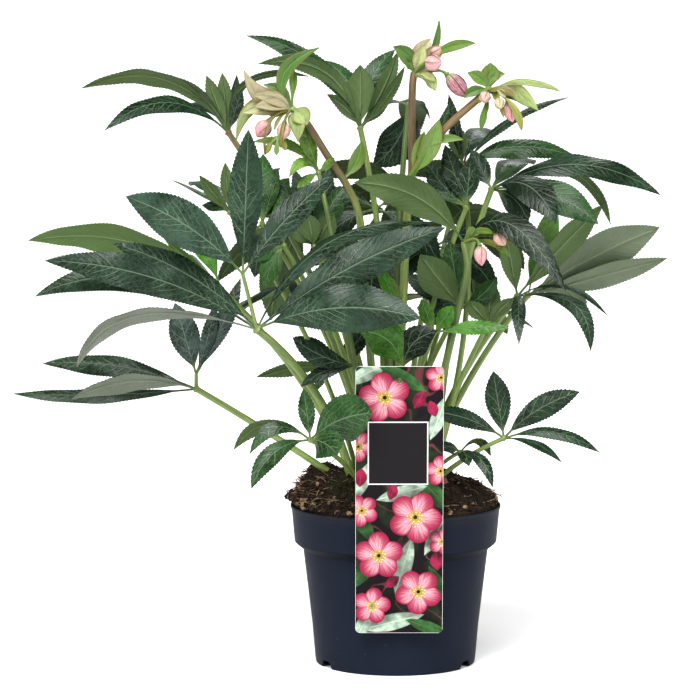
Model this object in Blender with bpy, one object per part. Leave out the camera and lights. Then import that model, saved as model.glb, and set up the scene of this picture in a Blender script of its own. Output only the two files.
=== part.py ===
"""Potted lenten rose: a nursery pot of peat, with a plant of toothed leaves, flower stems and pink buds,
and a card label hung on the rim. The origin is the middle of the pot's foot, +Z is up and the label
faces -Y. Sizes in the tables are millimetres.
"""

import math
from collections import namedtuple

import bmesh
import bpy
import numpy as np
from mathutils import Vector
from mathutils.bvhtree import BVHTree

MM = 0.001

# Pot
POT_SIDES = 32
POT_HEIGHT = 144.0
RIM_RADIUS = 95.0
RIM_LIP = 2.4
COLLAR_LOW_RADIUS = 91.4
COLLAR_LOW_Z = 111.0
BODY_TOP_RADIUS = 83.5
BODY_TOP_Z = 103.5
FOOT_RADIUS = 72.0
WALL = 1.5
FLOOR = 2.0
NOTCH_ANGLES = (-60.0, 60.0, 180.0)
NOTCH_WIDTH = 19.0
NOTCH_HEIGHT = 6.5

# Growing medium
GAP = 0.3
SOIL_SIDES = 20
SOIL_RINGS = (0.0, 0.55, 0.86, 1.0)
SOIL_EDGE_Z = 140.0
SOIL_RISE = 34.0
SOIL_HEAP_RISE = 16.0
SOIL_HEAP_X = -74.0
ROOT_DEPTH = 10.0
ROOT_HOLE_BELOW = 2.0
ROOT_HOLE_ABOVE = 40.0
ROOT_HOLE_ROOM = 0.45
SOIL_WALL_RADIUS = RIM_RADIUS - WALL - 1.2 - GAP

# Label
LABEL_WIDTH = 77.0
LABEL_HEIGHT = 242.0
LABEL_THICK = 0.9
LABEL_CENTRE_X = 2.0
LABEL_LOW_Z = 41.5
LABEL_LEAN = 6.5
LABEL_RIM_Y = -95.5
LABEL_CORNER = 4.0
LABEL_CORNER_POINTS = 4
TONGUE_WIDTH = 20.0
TONGUE_THICK = 1.2
TONGUE_INNER_Y = -89.5
TONGUE_LOW_Z = 126.0

# Stalks
STALK_SIDES = 5
STALK_FOOT = 1.25
STALK_KNOB = 2.0
KNOB_WIDER = 1.45
FAN_STALK = 2.2
TWIG_RADII = (1.8, 1.6)
TWIG_KNOB = 1.5

# Blades
RIB_THICK = 1.5
BASE_HALF_WIDTH = 1.1
STALK_SHARE = 0.1
EDGE_DROP = 0.16
TOOTH_OUT = 1.05
NOTCH_IN = 0.88
TOOTH_PLACE = 0.78
TOOTH_COUNTS = ((50.0, 2), (100.0, 3), (130.0, 4), (math.inf, 5))
LEAF_LIFT = 4.0

# How a stalk or a blade is bent clear of the others
SWING_STEP = 5.0
SWING_STEPS = 14
CLEARANCE = 0.5

# Buds: rows of share of the length and share of the radius
BUD_ROWS = ((0.0, 0.35), (0.2, 0.86), (0.48, 1.0), (0.82, 0.55))
BUD_SIDES = 8
BUD_LOBE = 0.06
BUD_TWIST = 0.5
BUD_STALK = (1.4, 1.1)
BUD_STALK_SIDES = 3

Blade = namedtuple("Blade", "tip width rise turn peak", defaults=(0.5,))
Arm = namedtuple("Arm", "base blades")
Leaf = namedtuple("Leaf", "name root hub stalk arms bow", defaults=(0.1,))
Stem = namedtuple("Stem", "points radii")
Bud = namedtuple("Bud", "name stem start base axis length radius")


def blades(*rows):
    return tuple(Blade(*row) for row in rows)


# Each blade: its tip, its width, how far its rib bows up, which way its upper face looks, in degrees from
# straight up towards the label's side, and the share of its length at which the bow is highest. The hubs
# and tips stand LEAF_LIFT above the heights written here
LEAVES = (
    Leaf("leaf_front_left", (-38, -20), (-123, -80, 307), 3.3, (
        Arm(None, blades(
            ((20, -125, 321), 43, 14, 80),
            ((42, -88, 397), 36, 9, 75),
            ((36, -45, 398), 28, 34, 25),
            ((-307, -100, 369), 32, 15, 70),
            ((-249, -82, 383), 28, 10, 65),
            ((-319, -62, 334), 26, 29, 60, 0.6),
            ((-279, -112, 277), 19, 34, -50, 0.75))),
        Arm((-135, -85, 356), blades(
            ((-58, -72, 441), 26, 4, 80),
            ((-130, -75, 482), 30, 0, 88),
            ((-236, -100, 425), 40, 8, 80)))), 0.18),
    Leaf("leaf_lower_left_front", (-28, -33), (-76, -95, 211), 2.0, (
        Arm(None, blades(
            ((-127, -125, 172), 18, 13, 65),
            ((-144, -80, 200), 18, 20, -40),
            ((-129, -108, 200), 14, 18, 50),
            ((-82, -88, 256), 15, 0, 85),
            ((-22, -138, 240), 42, 6, 80),
            ((-52, -132, 203), 30, 4, 75))),)),
    Leaf("leaf_lower_right", (27, -30), (96, -40, 205), 1.9, (
        Arm(None, blades(
            ((25, -62, 232), 17, 6, 75),
            ((86, -45, 266), 23, 0, 85),
            ((163, -50, 248), 22, 6, 75),
            ((180, -60, 195), 14, 12, 45),
            ((145, -85, 190), 11, 7, 30))),)),
    Leaf("leaf_low_right_small", (14, -33), (57, -35, 192), 1.7, (
        Arm(None, blades(
            ((84, -38, 187), 14, 13, -30),
            ((85, -72, 165), 12, 12, 60),
            ((64, -70, 184), 13, 6, 40),
            ((38, -60, 197), 14, 4, 60))),)),
    Leaf("leaf_lower_left", (-41, -7), (-179, -20, 247), 2.6, (
        Arm(None, blades(
            ((-288, -60, 243), 22, 12, -60),
            ((-320, 20, 265), 22, 9, 50),
            ((-342, -30, 244), 18, -3, 45))),
        Arm((-179, -18, 260), blades(
            ((-199, 5, 322), 27, 0, 70),
            ((-140, 20, 343), 17, -3, 60),
            ((-162, 5, 322), 13, -2, 65)))), 0.02),
    Leaf("leaf_centre_front", (0, -33), (6, -62, 266), 2.3, (
        Arm(None, blades(
            ((-34, -72, 305), 34, 12, 75),
            ((36, -66, 304), 28, 10, 70))),
        Arm((1, -45, 322), blades(
            ((-19, -35, 361), 12, 2, 60),)))),
    Leaf("leaf_centre_left", (-14, -33), (-33, -58, 272), 2.2, (
        Arm(None, blades(
            ((-91, -70, 298), 20, -5, 65),
            ((-62, -88, 262), 15, 6, 45))),)),
    Leaf("leaf_right", (19, 3), (110, 15, 327), 2.6, (
        Arm(None, blades(
            ((100, 30, 384), 19, 0, -75),
            ((189, 50, 407), 27, 2, -70),
            ((189, -20, 313), 14, 19, 5),
            ((172, -50, 284), 17, 28, 45, 0.75),
            ((108, -60, 291), 13, 16, 10))),)),
    Leaf("leaf_right_pale", (25, 16), (122, 72, 322), 2.6, (
        Arm(None, blades(
            ((244, 85, 384), 40, 4, -75),
            ((251, 80, 356), 24, 0, -75),
            ((176, 90, 297), 24, 20, -50),
            ((150, 150, 400), 30, 5, -30),
            ((205, 165, 330), 32, 14, -10))),)),
    Leaf("leaf_upper_right", (38, -6), (86, 10, 424), 2.5, (
        Arm(None, blades(
            ((238, 10, 419), 30, 25, 40),
            ((180, -25, 395), 32, 13, 60),
            ((140, -60, 398), 32, 20, 55),
            ((198, 50, 388), 15, 36, -20, 0.65),
            ((120, 30, 446), 11, 4, 30),
            ((130, 120, 440), 28, 16, 0))),)),
    Leaf("leaf_top_right", (31, 5), (62, 55, 442), 2.2, (
        Arm(None, blades(
            ((158, 70, 504), 14, 12, 30),
            ((166, 60, 450), 24, 14, 45, 0.4),
            ((53, 60, 482), 18, 0, -70),
            ((48, 35, 508), 11, 0, 70),
            ((90, 150, 470), 24, 15, 0))),)),
    Leaf("leaf_middle_right", (12, -9), (63, 0, 408), 2.2, (
        Arm(None, blades(
            ((28, 10, 449), 22, -3, 70),
            ((67, 5, 453), 20, 0, 75))),)),
    Leaf("leaf_upper_left", (-14, 15), (-151, 30, 474), 2.5, (
        Arm(None, blades(
            ((-283, 20, 514), 20, 30, -40),
            ((-246, 60, 517), 18, 24, -40),
            ((-260, -10, 478), 23, 26, 40),
            ((-171, 40, 525), 15, 0, -70),
            ((-157, 50, 527), 14, 0, -70),
            ((-145, 85, 524), 12, 0, -40),
            ((-79, 75, 523), 13, 30, -40, 0.35),
            ((-138, 5, 514), 12, 0, 70),
            ((-190, 130, 490), 26, 18, 0))),)),
    Leaf("leaf_top_centre", (-7, 3), (-32, 30, 478), 2.4, (
        Arm(None, blades(
            ((-135, 40, 561), 20, 20, 50),
            ((-124, 20, 536), 18, 26, -60),
            ((-64, 60, 538), 20, 12, 50),
            ((-32, 35, 535), 26, 0, -75),
            ((2, 30, 547), 15, -3, -70),
            ((8, 20, 534), 11, -3, -50),
            ((0, 60, 548), 20, 12, 60),
            ((-60, 150, 510), 26, 20, 0))),)),
    Leaf("leaf_behind_stem", (-1, 15), (12, 55, 498), 2.4, (
        Arm(None, blades(
            ((-21, 60, 442), 34, -8, 60),
            ((-32, 70, 487), 12, 8, 20),
            ((26, 75, 457), 14, -4, 60),
            ((32, 70, 484), 6, 8, 0),
            ((20, 160, 460), 26, 20, 0))),)),
    Leaf("leaf_left_pale", (-33, 4), (-157, -10, 336), 2.3, (
        Arm(None, blades(
            ((-332, 20, 377), 31, 22, -60),
            ((-209, 15, 380), 10, 0, -60),
            ((-250, 110, 350), 30, 20, 20),
            ((-200, 95, 400), 24, 10, 20))),)),
    Leaf("leaf_middle_left", (-21, -21), (-100, -25, 376), 2.2, (
        Arm(None, blades(
            ((-117, -42, 340), 20, 4, 50),
            ((-127, -35, 362), 14, 3, 50),
            ((-104, -5, 420), 18, 0, 60))),)),
    Leaf("leaf_middle", (-27, -10), (-73, -20, 375), 2.2, (
        Arm(None, blades(
            ((-95, -15, 398), 17, 0, -70),
            ((-79, -22, 405), 20, 0, -70),
            ((-56, -15, 405), 20, 0, -70),
            ((-113, 12, 431), 25, 8, 60),
            ((-46, 2, 427), 24, 4, 60))),)),
    Leaf("leaf_left_small", (-32, 26), (-150, 25, 402), 1.9, (
        Arm(None, blades(
            ((-177, 20, 436), 13, 0, -60),
            ((-154, 30, 447), 12, 0, -60),
            ((-176, 45, 407), 14, 4, 40),
            ((-203, 60, 429), 8, 3, 0),
            ((-190, 125, 420), 26, 14, 0))),)),
    Leaf("leaf_left_inner", (-20, 3), (-120, -8, 395), 1.9, (
        Arm(None, blades(
            ((-105, 5, 441), 12, 0, 70),
            ((-121, 0, 421), 10, 0, 70),
            ((-96, 30, 433), 22, 4, 60),
            ((-120, 42, 451), 22, 4, 60))),)),
    Leaf("leaf_right_inner", (33, -18), (83, -20, 306), 2.0, (
        Arm(None, blades(
            ((64, -20, 327), 16, 0, -70),
            ((84, -15, 344), 20, 0, -70),
            ((105, -32, 330), 14, 2, -70))),)),
    Leaf("leaf_right_middle", (-1, -9), (58, -12, 320), 2.2, (
        Arm(None, blades(
            ((21, -20, 368), 34, 0, -70),
            ((86, -35, 345), 17, -4, 60),
            ((19, -2, 336), 20, 4, 60),
            ((48, 2, 377), 22, 0, 70))),)),
    Leaf("leaf_centre_small", (6, -21), (34, -34, 299), 1.8, (
        Arm(None, blades(
            ((22, -32, 329), 14, 0, 70),
            ((50, -40, 324), 16, 0, 60),
            ((99, -52, 305), 14, 3, 60))),)),
    Leaf("leaf_light_left", (-21, -42), (-69, -24, 441), 2.0, (
        Arm(None, blades(
            ((-87, -30, 491), 15, 2, 70),
            ((-128, -18, 468), 10, 12, 60),
            ((-95, -48, 438), 10, 12, 60),
            ((-55, -38, 455), 8, 0, 70),
            ((-88, -42, 428), 9, 2, 60))),)),
    Leaf("leaf_low_behind", (-27, 15), (-52, 30, 262), 2.0, (
        Arm(None, blades(
            ((-124, 20, 251), 17, 4, -60),
            ((-74, 40, 236), 14, 5, 30))),)),
)


def fan(hub, heading, tilt, length, width, count=5, spread=105.0, fall=0.12, bow=0.14):
    """The blades of a leaf that opens like a hand, in a plane that dips by the tilt towards its heading."""
    ahead, dip = math.radians(heading), math.radians(tilt)
    made = []
    for index in range(count):
        share = 2.0 * index / (count - 1) - 1.0
        angle = math.radians(share * spread)
        reach = length * (1.0 - 0.3 * abs(share))
        along, aside = reach * math.cos(angle), reach * math.sin(angle)
        tip = (
            hub[0] + along * math.cos(dip) * math.cos(ahead) - aside * math.sin(ahead),
            hub[1] + along * math.cos(dip) * math.sin(ahead) + aside * math.cos(ahead),
            hub[2] - along * math.sin(dip) - reach * fall,
        )
        made.append(Blade(tip, width * (1.0 - 0.3 * abs(share)), reach * bow, -tilt * math.sin(ahead)))
    return (Arm(None, tuple(made)),)


# Leaves deep in the plant and at its back, which open evenly: name, root, hub, heading, tilt, leaflet
# length and width
FAN_LEAVES = (
    ("leaf_deep_centre", (-7, -9), (-18, 42, 408), -95, 60, 84, 30),
    ("leaf_deep_right", (7, 7), (38, 66, 372), -80, 60, 76, 28),
    ("leaf_back_right_low", (12, 15), (48, 84, 318), 50, 15, 96, 34),
    ("leaf_back_right", (19, 28), (52, 114, 392), 66, 50, 92, 36),
    ("leaf_back_centre", (6, 28), (4, 122, 428), 88, 50, 116, 38),
    ("leaf_back_centre_low", (-7, 28), (-6, 118, 350), 92, 25, 118, 40),
    ("leaf_back_left", (-10, 39), (-80, 108, 392), 120, 50, 112, 38),
    ("leaf_back_left_low", (-20, 27), (-74, 84, 334), 150, 15, 96, 34),
)

# Flower stems: the tubes that make them, then their bracts by the point that they grow from
CENTRE_TUBES = (
    Stem(((-7, -21, 150), (0, -19, 205), (3, -16, 270), (7, -12, 345), (10, -8, 409),
          (14, -4, 441), (14, 0, 480), (14.5, 0, 518), (16, 0, 533)), (4.2, 3.2)),
    Stem(((13, -4, 440), (27, -8, 463), (46, -10, 486), (73, -12, 510), (84, -12, 520)), (3.4, 3.2)),
)
CENTRE_BRACTS = (
    Arm((4, -15, 318), blades(((-17, -32, 360), 14, 2, 75),)),
    Arm((14, -6, 441), blades(
        ((38, -17, 492), 17, -4, 80), ((60, -20, 474), 8, 14, 60), ((48, -9, 508), 10, -4, 80))),
    Arm((16, 0, 529), blades(
        ((-3, -6, 556), 14, 6, 80), ((39, 6, 580), 7, -8, 80), ((72, -2, 560), 11, 10, 75),
        ((35, -16, 517), 13, 6, -60), ((31, 10, 563), 17, 3, 85))),
    Arm((83, -12, 518), blades(
        ((63, -14, 533), 11, 3, 80), ((84, -8, 542), 16, 0, 85), ((97, -10, 532), 10, 6, 80),
        ((60, -18, 511), 10, 3, 70), ((147, 0, 516), 9, 7, 40), ((127, -6, 499), 16, 6, 60),
        ((75, -22, 482), 6, 6, 60), ((112, -20, 481), 7, 8, 60))),
)
LEFT_TUBES = (
    Stem(((-14, -9, 150), (-18, -12, 220), (-27, -18, 330), (-32, -24, 400), (-42, -27, 430),
          (-63, -29, 463), (-80, -30, 490), (-93, -30, 503)), (3.6, 3.0)),
)
LEFT_BRACTS = (
    Arm((-93, -30, 501), blades(
        ((-68, -30, 556), 13, 19, 80, 0.35), ((-91, -24, 537), 7, 0, 80), ((-118, -26, 523), 10, 6, 70),
        ((-135, -32, 536), 18, -8, 75), ((-142, -28, 474), 13, 18, 60), ((-116, -54, 462), 7, 14, 60),
        ((-103, -54, 466), 7, 8, 60), ((-88, -46, 476), 15, 6, 75))),
    Arm((-47, -28, 440), blades(((-31, -24, 473), 13, -4, 70),)),
)
SHOOT_TUBES = (
    Stem(((19, -20, 150), (28, -22, 200), (43, -25, 268), (55, -28, 322), (63, -31, 358),
          (60, -32, 384)), (3.6, 3.0)),
)
SHOOT_BRACTS = (
    Arm((60, -32, 383), blades(
        ((-38, -52, 438), 34, 16, -70), ((147, -98, 346), 25, 34, 60, 0.2),
        ((108, -54, 384), 8, 8, 60), ((100, -56, 372), 6, 8, 60), ((84, -66, 394), 7, 6, 60))),
)
CENTRE, LEFT, SHOOT = "flower_stem_centre", "flower_stem_left", "flowering_shoot_right"
FLOWER_STEMS = (
    (CENTRE, CENTRE_TUBES, CENTRE_BRACTS),
    (LEFT, LEFT_TUBES, LEFT_BRACTS),
    (SHOOT, SHOOT_TUBES, SHOOT_BRACTS),
)

# Buds: the stem that carries each, where its stalk leaves the stem, the end of the stalk, the way the bud
# points, its length and its radius
BUDS = (
    Bud("bud_centre_front", CENTRE, (16, -1, 531), (26, -12, 541), (0.75, -0.45, 0.1), 16, 7.8),
    Bud("bud_centre_top", CENTRE, (16, 0, 531), (31, 4, 548), (0.75, -0.1, 0.6), 12, 5.5),
    Bud("bud_centre_drooping", CENTRE, (16, 0, 529), (45.6, -9, 531), (0.68, -0.1, -0.72), 26, 8.2),
    Bud("bud_right_upper", CENTRE, (83, -12, 519), (79, -20, 515), (-0.1, -0.8, -0.5), 12, 5.4),
    Bud("bud_right_middle", CENTRE, (83, -12, 519), (90, -22, 510), (0.2, -0.75, -0.6), 12, 4.8),
    Bud("bud_right_lower", CENTRE, (84, -12, 519), (99, -14, 507), (0.25, -0.2, -0.95), 18, 6.3),
    Bud("bud_left_front", LEFT, (-92, -30, 502), (-113, -39, 491), (-0.6, -0.3, -0.75), 17, 7.6),
    Bud("bud_left_inner", LEFT, (-92, -30, 502), (-99, -42, 490), (-0.1, -0.4, -0.9), 16, 6.4),
    Bud("bud_shoot_upper", SHOOT, (60, -32, 383), (87, -50, 393), (0.6, -0.35, -0.7), 14, 6.2),
    Bud("bud_shoot_lower", SHOOT, (60, -32, 383), (73, -54, 382), (0.1, -0.2, -0.97), 17, 6.2),
)


def clear_scene():
    for obj in list(bpy.data.objects):
        bpy.data.objects.remove(obj)


def material(name, colour, roughness):
    made = bpy.data.materials.new(name)
    made.use_nodes = True
    shader = made.node_tree.nodes["Principled BSDF"]
    shader.inputs["Base Color"].default_value = (*colour, 1.0)
    shader.inputs["Roughness"].default_value = roughness
    shader.inputs["Metallic"].default_value = 0.0
    return made


def unit(vector):
    vector = np.asarray(vector, float)
    return vector / np.linalg.norm(vector)


def square_to(vector, axis):
    """The part of a vector that is square to a unit axis."""
    return vector - np.dot(vector, axis) * axis


def face_way(turn):
    angle = math.radians(turn)
    return np.array((0.0, -math.sin(angle), math.cos(angle)))


def rib_points(base, tip, rise, turn, peak, count):
    """Points and directions along a blade's rib, which bows up between its base and its tip."""
    base, tip = np.asarray(base, float), np.asarray(tip, float)
    chord = unit(tip - base)
    lift = square_to(np.array((0.0, 0.0, 1.0)), chord)
    if np.linalg.norm(lift) < 0.35:
        lift = square_to(face_way(turn), chord)
    control = base + peak * (tip - base) + 2 * rise * unit(lift)
    share = np.linspace(0.0, 1.0, count)[:, None]
    points = (1 - share) ** 2 * base + 2 * share * (1 - share) * control + share**2 * tip
    ways = 2 * (1 - share) * (control - base) + 2 * share * (tip - control)
    return points, ways / np.linalg.norm(ways, axis=1)[:, None]


def half_width(share, width):
    """Half the width of a lance-shaped blade at a share of its length, past its own short stalk."""
    open_share = min(max((share - STALK_SHARE) / (1 - STALK_SHARE), 0.0), 1.0)
    lance = 0.5 * width * math.sin(math.pi * open_share**0.92) ** 0.85
    return max(lance, BASE_HALF_WIDTH * (1 - share))


def blade_shape(base, tip, width, rise, turn, peak, grow=0.0):
    """A closed blade with a thick rib, thin toothed edges and the same triangles on both faces."""
    length = float(np.linalg.norm(np.subtract(tip, base)))
    parts = next(count for longest, count in TOOTH_COUNTS if length <= longest)
    fine = parts * 50
    ribs, ways = rib_points(base, tip, rise, turn, peak, fine + 1)
    face = face_way(turn)
    verts, left, right, top, low = [], [], [], [], []

    def station(share):
        row = round(share * fine)
        out = unit(np.cross(ways[row], face))
        return ribs[row], out, unit(np.cross(out, ways[row]))

    def add(point):
        verts.append(point)
        return len(verts) - 1

    thick = RIB_THICK + 2 * grow
    for index in range(parts):
        centre, out, up = station(index / parts)
        top.append(add(centre + up * thick / 2))
        low.append(add(centre - up * thick / 2))
        for share, factor in ((index / parts, NOTCH_IN), ((index + TOOTH_PLACE) / parts, TOOTH_OUT)):
            middle, out, up = station(share)
            wide = half_width(share, width) * (factor if share else 1.0) + grow
            edge = middle - up * EDGE_DROP * wide
            left.append(add(edge - out * wide))
            right.append(add(edge + out * wide))
    end = add(ribs[-1] + ways[-1] * grow)
    top.append(end)
    low.append(end)
    left.append(end)
    right.append(end)
    faces = [(top[0], left[0], low[0]), (top[0], low[0], right[0])]
    for index in range(parts):
        notch, tooth, after = 2 * index, 2 * index + 1, 2 * index + 2
        for rib, flip in ((top, False), (low, True)):
            for edge, side in ((left, False), (right, True)):
                made = [
                    (rib[index], edge[notch], edge[tooth]),
                    (rib[index], edge[tooth], rib[index + 1]),
                ]
                if index < parts - 1:
                    made.append((rib[index + 1], edge[tooth], edge[after]))
                faces += [corner[::-1] if flip != side else corner for corner in made]
    return verts, faces


def tube_shape(points, radii, sides, grow=0.0, knob=0.0):
    """A closed tube through the points, from the first radius to the last, with an optional end knob."""
    points = [np.asarray(point, float) for point in points]
    sizes = list(np.linspace(radii[0], radii[1], len(points)) + grow)
    if knob:
        way = unit(points[-1] - points[-2])
        tip = points[-1]
        points[-1] = tip - way * knob
        points += [tip, tip + way * knob]
        sizes += [sizes[-1] * KNOB_WIDER, sizes[-1] * 0.8]
    verts, faces = [], []
    for index, point in enumerate(points):
        before = points[max(index - 1, 0)]
        after = points[min(index + 1, len(points) - 1)]
        way = unit(after - before)
        across = unit(square_to(np.array((0.0, -1.0, 0.013)), way))
        other = np.cross(way, across)
        for side in range(sides):
            angle = 2 * math.pi * side / sides
            verts.append(point + sizes[index] * (math.cos(angle) * across + math.sin(angle) * other))
    for index in range(len(points) - 1):
        for side in range(sides):
            a, b = index * sides + side, index * sides + (side + 1) % sides
            faces += [(a, b, b + sides), (a, b + sides, a + sides)]
    last = (len(points) - 1) * sides
    for side in range(1, sides - 1):
        faces += [(0, side + 1, side), (last, last + side, last + side + 1)]
    return verts, faces


def bowed(start, end, bow, side=0.0, count=4):
    """Points on a stalk that bows up by a share of its length, and sideways by a distance."""
    start, end = np.asarray(start, float), np.asarray(end, float)
    way = end - start
    across = unit(np.cross(way, (0.0, 0.0, 1.0)))
    lift = np.cross(across, unit(way))
    middle = (start + end) / 2 + lift * bow * np.linalg.norm(way) + across * side
    share = np.linspace(0.0, 1.0, count)[:, None]
    return list((1 - share) ** 2 * start + 2 * share * (1 - share) * middle + share**2 * end)


def tree_of(shape):
    verts, faces = shape
    return BVHTree.FromPolygons([Vector(point) for point in verts], faces)


def swings():
    """Zero, then steps to either side that grow."""
    yield 0.0
    for step in range(1, SWING_STEPS + 1):
        yield step * SWING_STEP
        yield -step * SWING_STEP


class Thicket:
    """What has been placed so far. Each new stalk or blade is bent until it is clear of the others."""

    def __init__(self):
        self.placed = []
        self.crossings = []

    def clear(self, owner, shape):
        verts = np.asarray(shape[0])
        low, high = verts.min(axis=0), verts.max(axis=0)
        tree = None
        for other, other_low, other_high, other_tree in self.placed:
            if other == owner or (low > other_high).any() or (high < other_low).any():
                continue
            tree = tree or tree_of(shape)
            if tree.overlap(other_tree):
                return False
        return True

    def add(self, owner, shape):
        verts = np.asarray(shape[0])
        self.placed.append((owner, verts.min(axis=0), verts.max(axis=0), tree_of(shape)))

    def place(self, owner, make):
        """The first swing whose grown shape is clear. A shape with none keeps its own place."""
        for swing in swings():
            if self.clear(owner, make(swing, CLEARANCE)):
                break
        else:
            swing = 0.0
            self.crossings.append(owner)
        shape = make(swing, 0.0)
        self.add(owner, shape)
        return swing, shape


def swung_tip(base, tip, swing):
    """The tip moved to the front or the back, or up and down where the blade points that way."""
    base, tip = np.asarray(base, float), np.asarray(tip, float)
    way = unit(tip - base)
    aside = square_to(np.array((0.0, 1.0, 0.0)), way)
    if np.linalg.norm(aside) < 0.6:
        aside = square_to(np.array((0.0, 0.0, 1.0)), way)
    return tip + unit(aside) * swing


def grow_blade(thicket, owner, base, blade):
    def make(swing, grow):
        tip = swung_tip(base, blade.tip, swing)
        return blade_shape(base, tip, blade.width, blade.rise, blade.turn, blade.peak, grow)

    return thicket.place(owner, make)


def soil_height(x, y):
    """Height of the peat: low at the pot's wall, raised in the middle, with a heap at -X and soft lumps."""
    share = min(math.hypot(x, y) / (RIM_RADIUS - WALL), 1.0)
    mound = SOIL_RISE * (1 - share**2) ** 0.6
    lump = 2.2 * math.sin(0.083 * x + 1.1) * math.cos(0.071 * y - 0.4) + 1.2 * math.sin(0.19 * x + 0.16 * y)
    heap = SOIL_HEAP_RISE * math.exp(-(((x - SOIL_HEAP_X) / 24.0) ** 2) - ((y / 45.0) ** 2))
    return SOIL_EDGE_Z + mound + (lump + heap) * (1 - share**12)


def bud_stalk(bud):
    """The stalk from the stem to the bud, which ends in line with the bud."""
    start, base, axis = np.asarray(bud.start, float), np.asarray(bud.base, float), unit(bud.axis)
    near = base - axis * 0.22 * np.linalg.norm(base - start)
    share = np.linspace(0.0, 1.0, 4)[:, None]
    points = (1 - share) ** 2 * start + 2 * share * (1 - share) * (2 * near - base) + share**2 * base
    return tube_shape(points, BUD_STALK, BUD_STALK_SIDES)


def lifted(point):
    return (point[0], point[1], point[2] + LEAF_LIFT)


def all_leaves():
    made = []
    for leaf in LEAVES:
        arms = []
        for arm in leaf.arms:
            raised = tuple(blade._replace(tip=lifted(blade.tip)) for blade in arm.blades)
            arms.append(Arm(lifted(arm.base) if arm.base else None, raised))
        made.append(leaf._replace(hub=lifted(leaf.hub), arms=tuple(arms)))
    fans = [Leaf(name, root, hub, FAN_STALK, fan(hub, *opening)) for name, root, hub, *opening in FAN_LEAVES]
    return made + fans


def stalk_points(leaf, side):
    """The stalk of a leaf, from its root in the peat to its hub, bowed sideways by a distance."""
    start = (leaf.root[0], leaf.root[1], soil_height(*leaf.root) - ROOT_DEPTH)
    return bowed(start, leaf.hub, leaf.bow, side)


def grow_plant(thicket):
    """Every stem, stalk and blade in its settled place: each node's shapes, by its name, and every root."""
    shapes, roots = {}, []
    for name, tubes, _ in FLOWER_STEMS:
        shapes[name] = [tube_shape(*tube, STALK_SIDES) for tube in tubes]
        roots.append((*tubes[0].points[:2], tubes[0].radii[0]))
        shapes[name] += [bud_stalk(bud) for bud in BUDS if bud.stem == name]
        for shape in shapes[name]:
            thicket.add(name, shape)
    for leaf in all_leaves():
        name = leaf.name

        def stalk(side, grow, leaf=leaf):
            points = stalk_points(leaf, side)
            radii = (leaf.stalk * STALK_FOOT, leaf.stalk)
            return tube_shape(points, radii, STALK_SIDES, grow, STALK_KNOB)

        side, shape = thicket.place(name, stalk)
        shapes[name] = [shape]
        roots.append((*stalk_points(leaf, side)[:2], leaf.stalk * STALK_FOOT))
        for arm in leaf.arms:
            if arm.base:
                twig = tube_shape((leaf.hub, arm.base), TWIG_RADII, STALK_SIDES, knob=TWIG_KNOB)
                shapes[name].append(twig)
                thicket.add(name, twig)
    thicket.add("soil", soil_shape())
    for name, _, arms in FLOWER_STEMS:
        for arm in arms:
            shapes[name] += [grow_blade(thicket, name, arm.base, blade)[1] for blade in arm.blades]
    for leaf in all_leaves():
        for arm in leaf.arms:
            base = arm.base or leaf.hub
            shapes[leaf.name] += [grow_blade(thicket, leaf.name, base, blade)[1] for blade in arm.blades]
    return shapes, roots


def mesh_object(name, shape, finish):
    verts, faces = shape
    mesh = bpy.data.meshes.new(name)
    mesh.from_pydata([tuple(float(value) * MM for value in point) for point in verts], [], faces)
    work = bmesh.new()
    work.from_mesh(mesh)
    bmesh.ops.recalc_face_normals(work, faces=work.faces)
    work.to_mesh(mesh)
    work.free()
    mesh.materials.append(finish)
    made = bpy.data.objects.new(name, mesh)
    bpy.context.scene.collection.objects.link(made)
    return made


def apply_modifiers(obj):
    graph = bpy.context.evaluated_depsgraph_get()
    mesh = bpy.data.meshes.new_from_object(obj.evaluated_get(graph))
    obj.modifiers.clear()
    old, obj.data = obj.data, mesh
    bpy.data.meshes.remove(old)


def boolean(obj, tools, operation):
    """One Boolean on a collection of tools, applied, with the tools then removed."""
    group = bpy.data.collections.new(obj.name + "_tools")
    bpy.context.scene.collection.children.link(group)
    for tool in tools:
        bpy.context.scene.collection.objects.unlink(tool)
        group.objects.link(tool)
    modifier = obj.modifiers.new(operation.title(), "BOOLEAN")
    modifier.operation = operation
    modifier.operand_type = "COLLECTION"
    modifier.collection = group
    modifier.solver = "EXACT"
    bpy.context.view_layer.update()
    apply_modifiers(obj)
    for tool in tools:
        bpy.data.objects.remove(tool)
    bpy.data.collections.remove(group)


def fused(name, shapes, finish):
    pieces = [mesh_object(f"{name}_{index}", shape, finish) for index, shape in enumerate(shapes)]
    body = pieces[0]
    body.name = name
    if pieces[1:]:
        boolean(body, pieces[1:], "UNION")
    return body


def turned(profile, sides):
    """A closed ring or solid turned from a profile of radius and height, which may end on the axis."""
    verts, rows = [], []
    for radius, height in profile:
        if radius < 1e-6:
            rows.append([len(verts)] * sides)
            verts.append((0.0, 0.0, height))
            continue
        rows.append([len(verts) + side for side in range(sides)])
        for side in range(sides):
            angle = 2 * math.pi * side / sides
            verts.append((radius * math.sin(angle), -radius * math.cos(angle), height))
    faces = []
    for lower, upper in zip(rows, rows[1:] + ([rows[0]] if profile[0][0] > 1e-6 else [])):
        for side in range(sides):
            after = (side + 1) % sides
            quad = (lower[side], lower[after], upper[after], upper[side])
            corners = [corner for place, corner in enumerate(quad) if corner not in quad[:place]]
            if len(corners) > 2:
                faces.append(tuple(corners))
    return verts, faces


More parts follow.
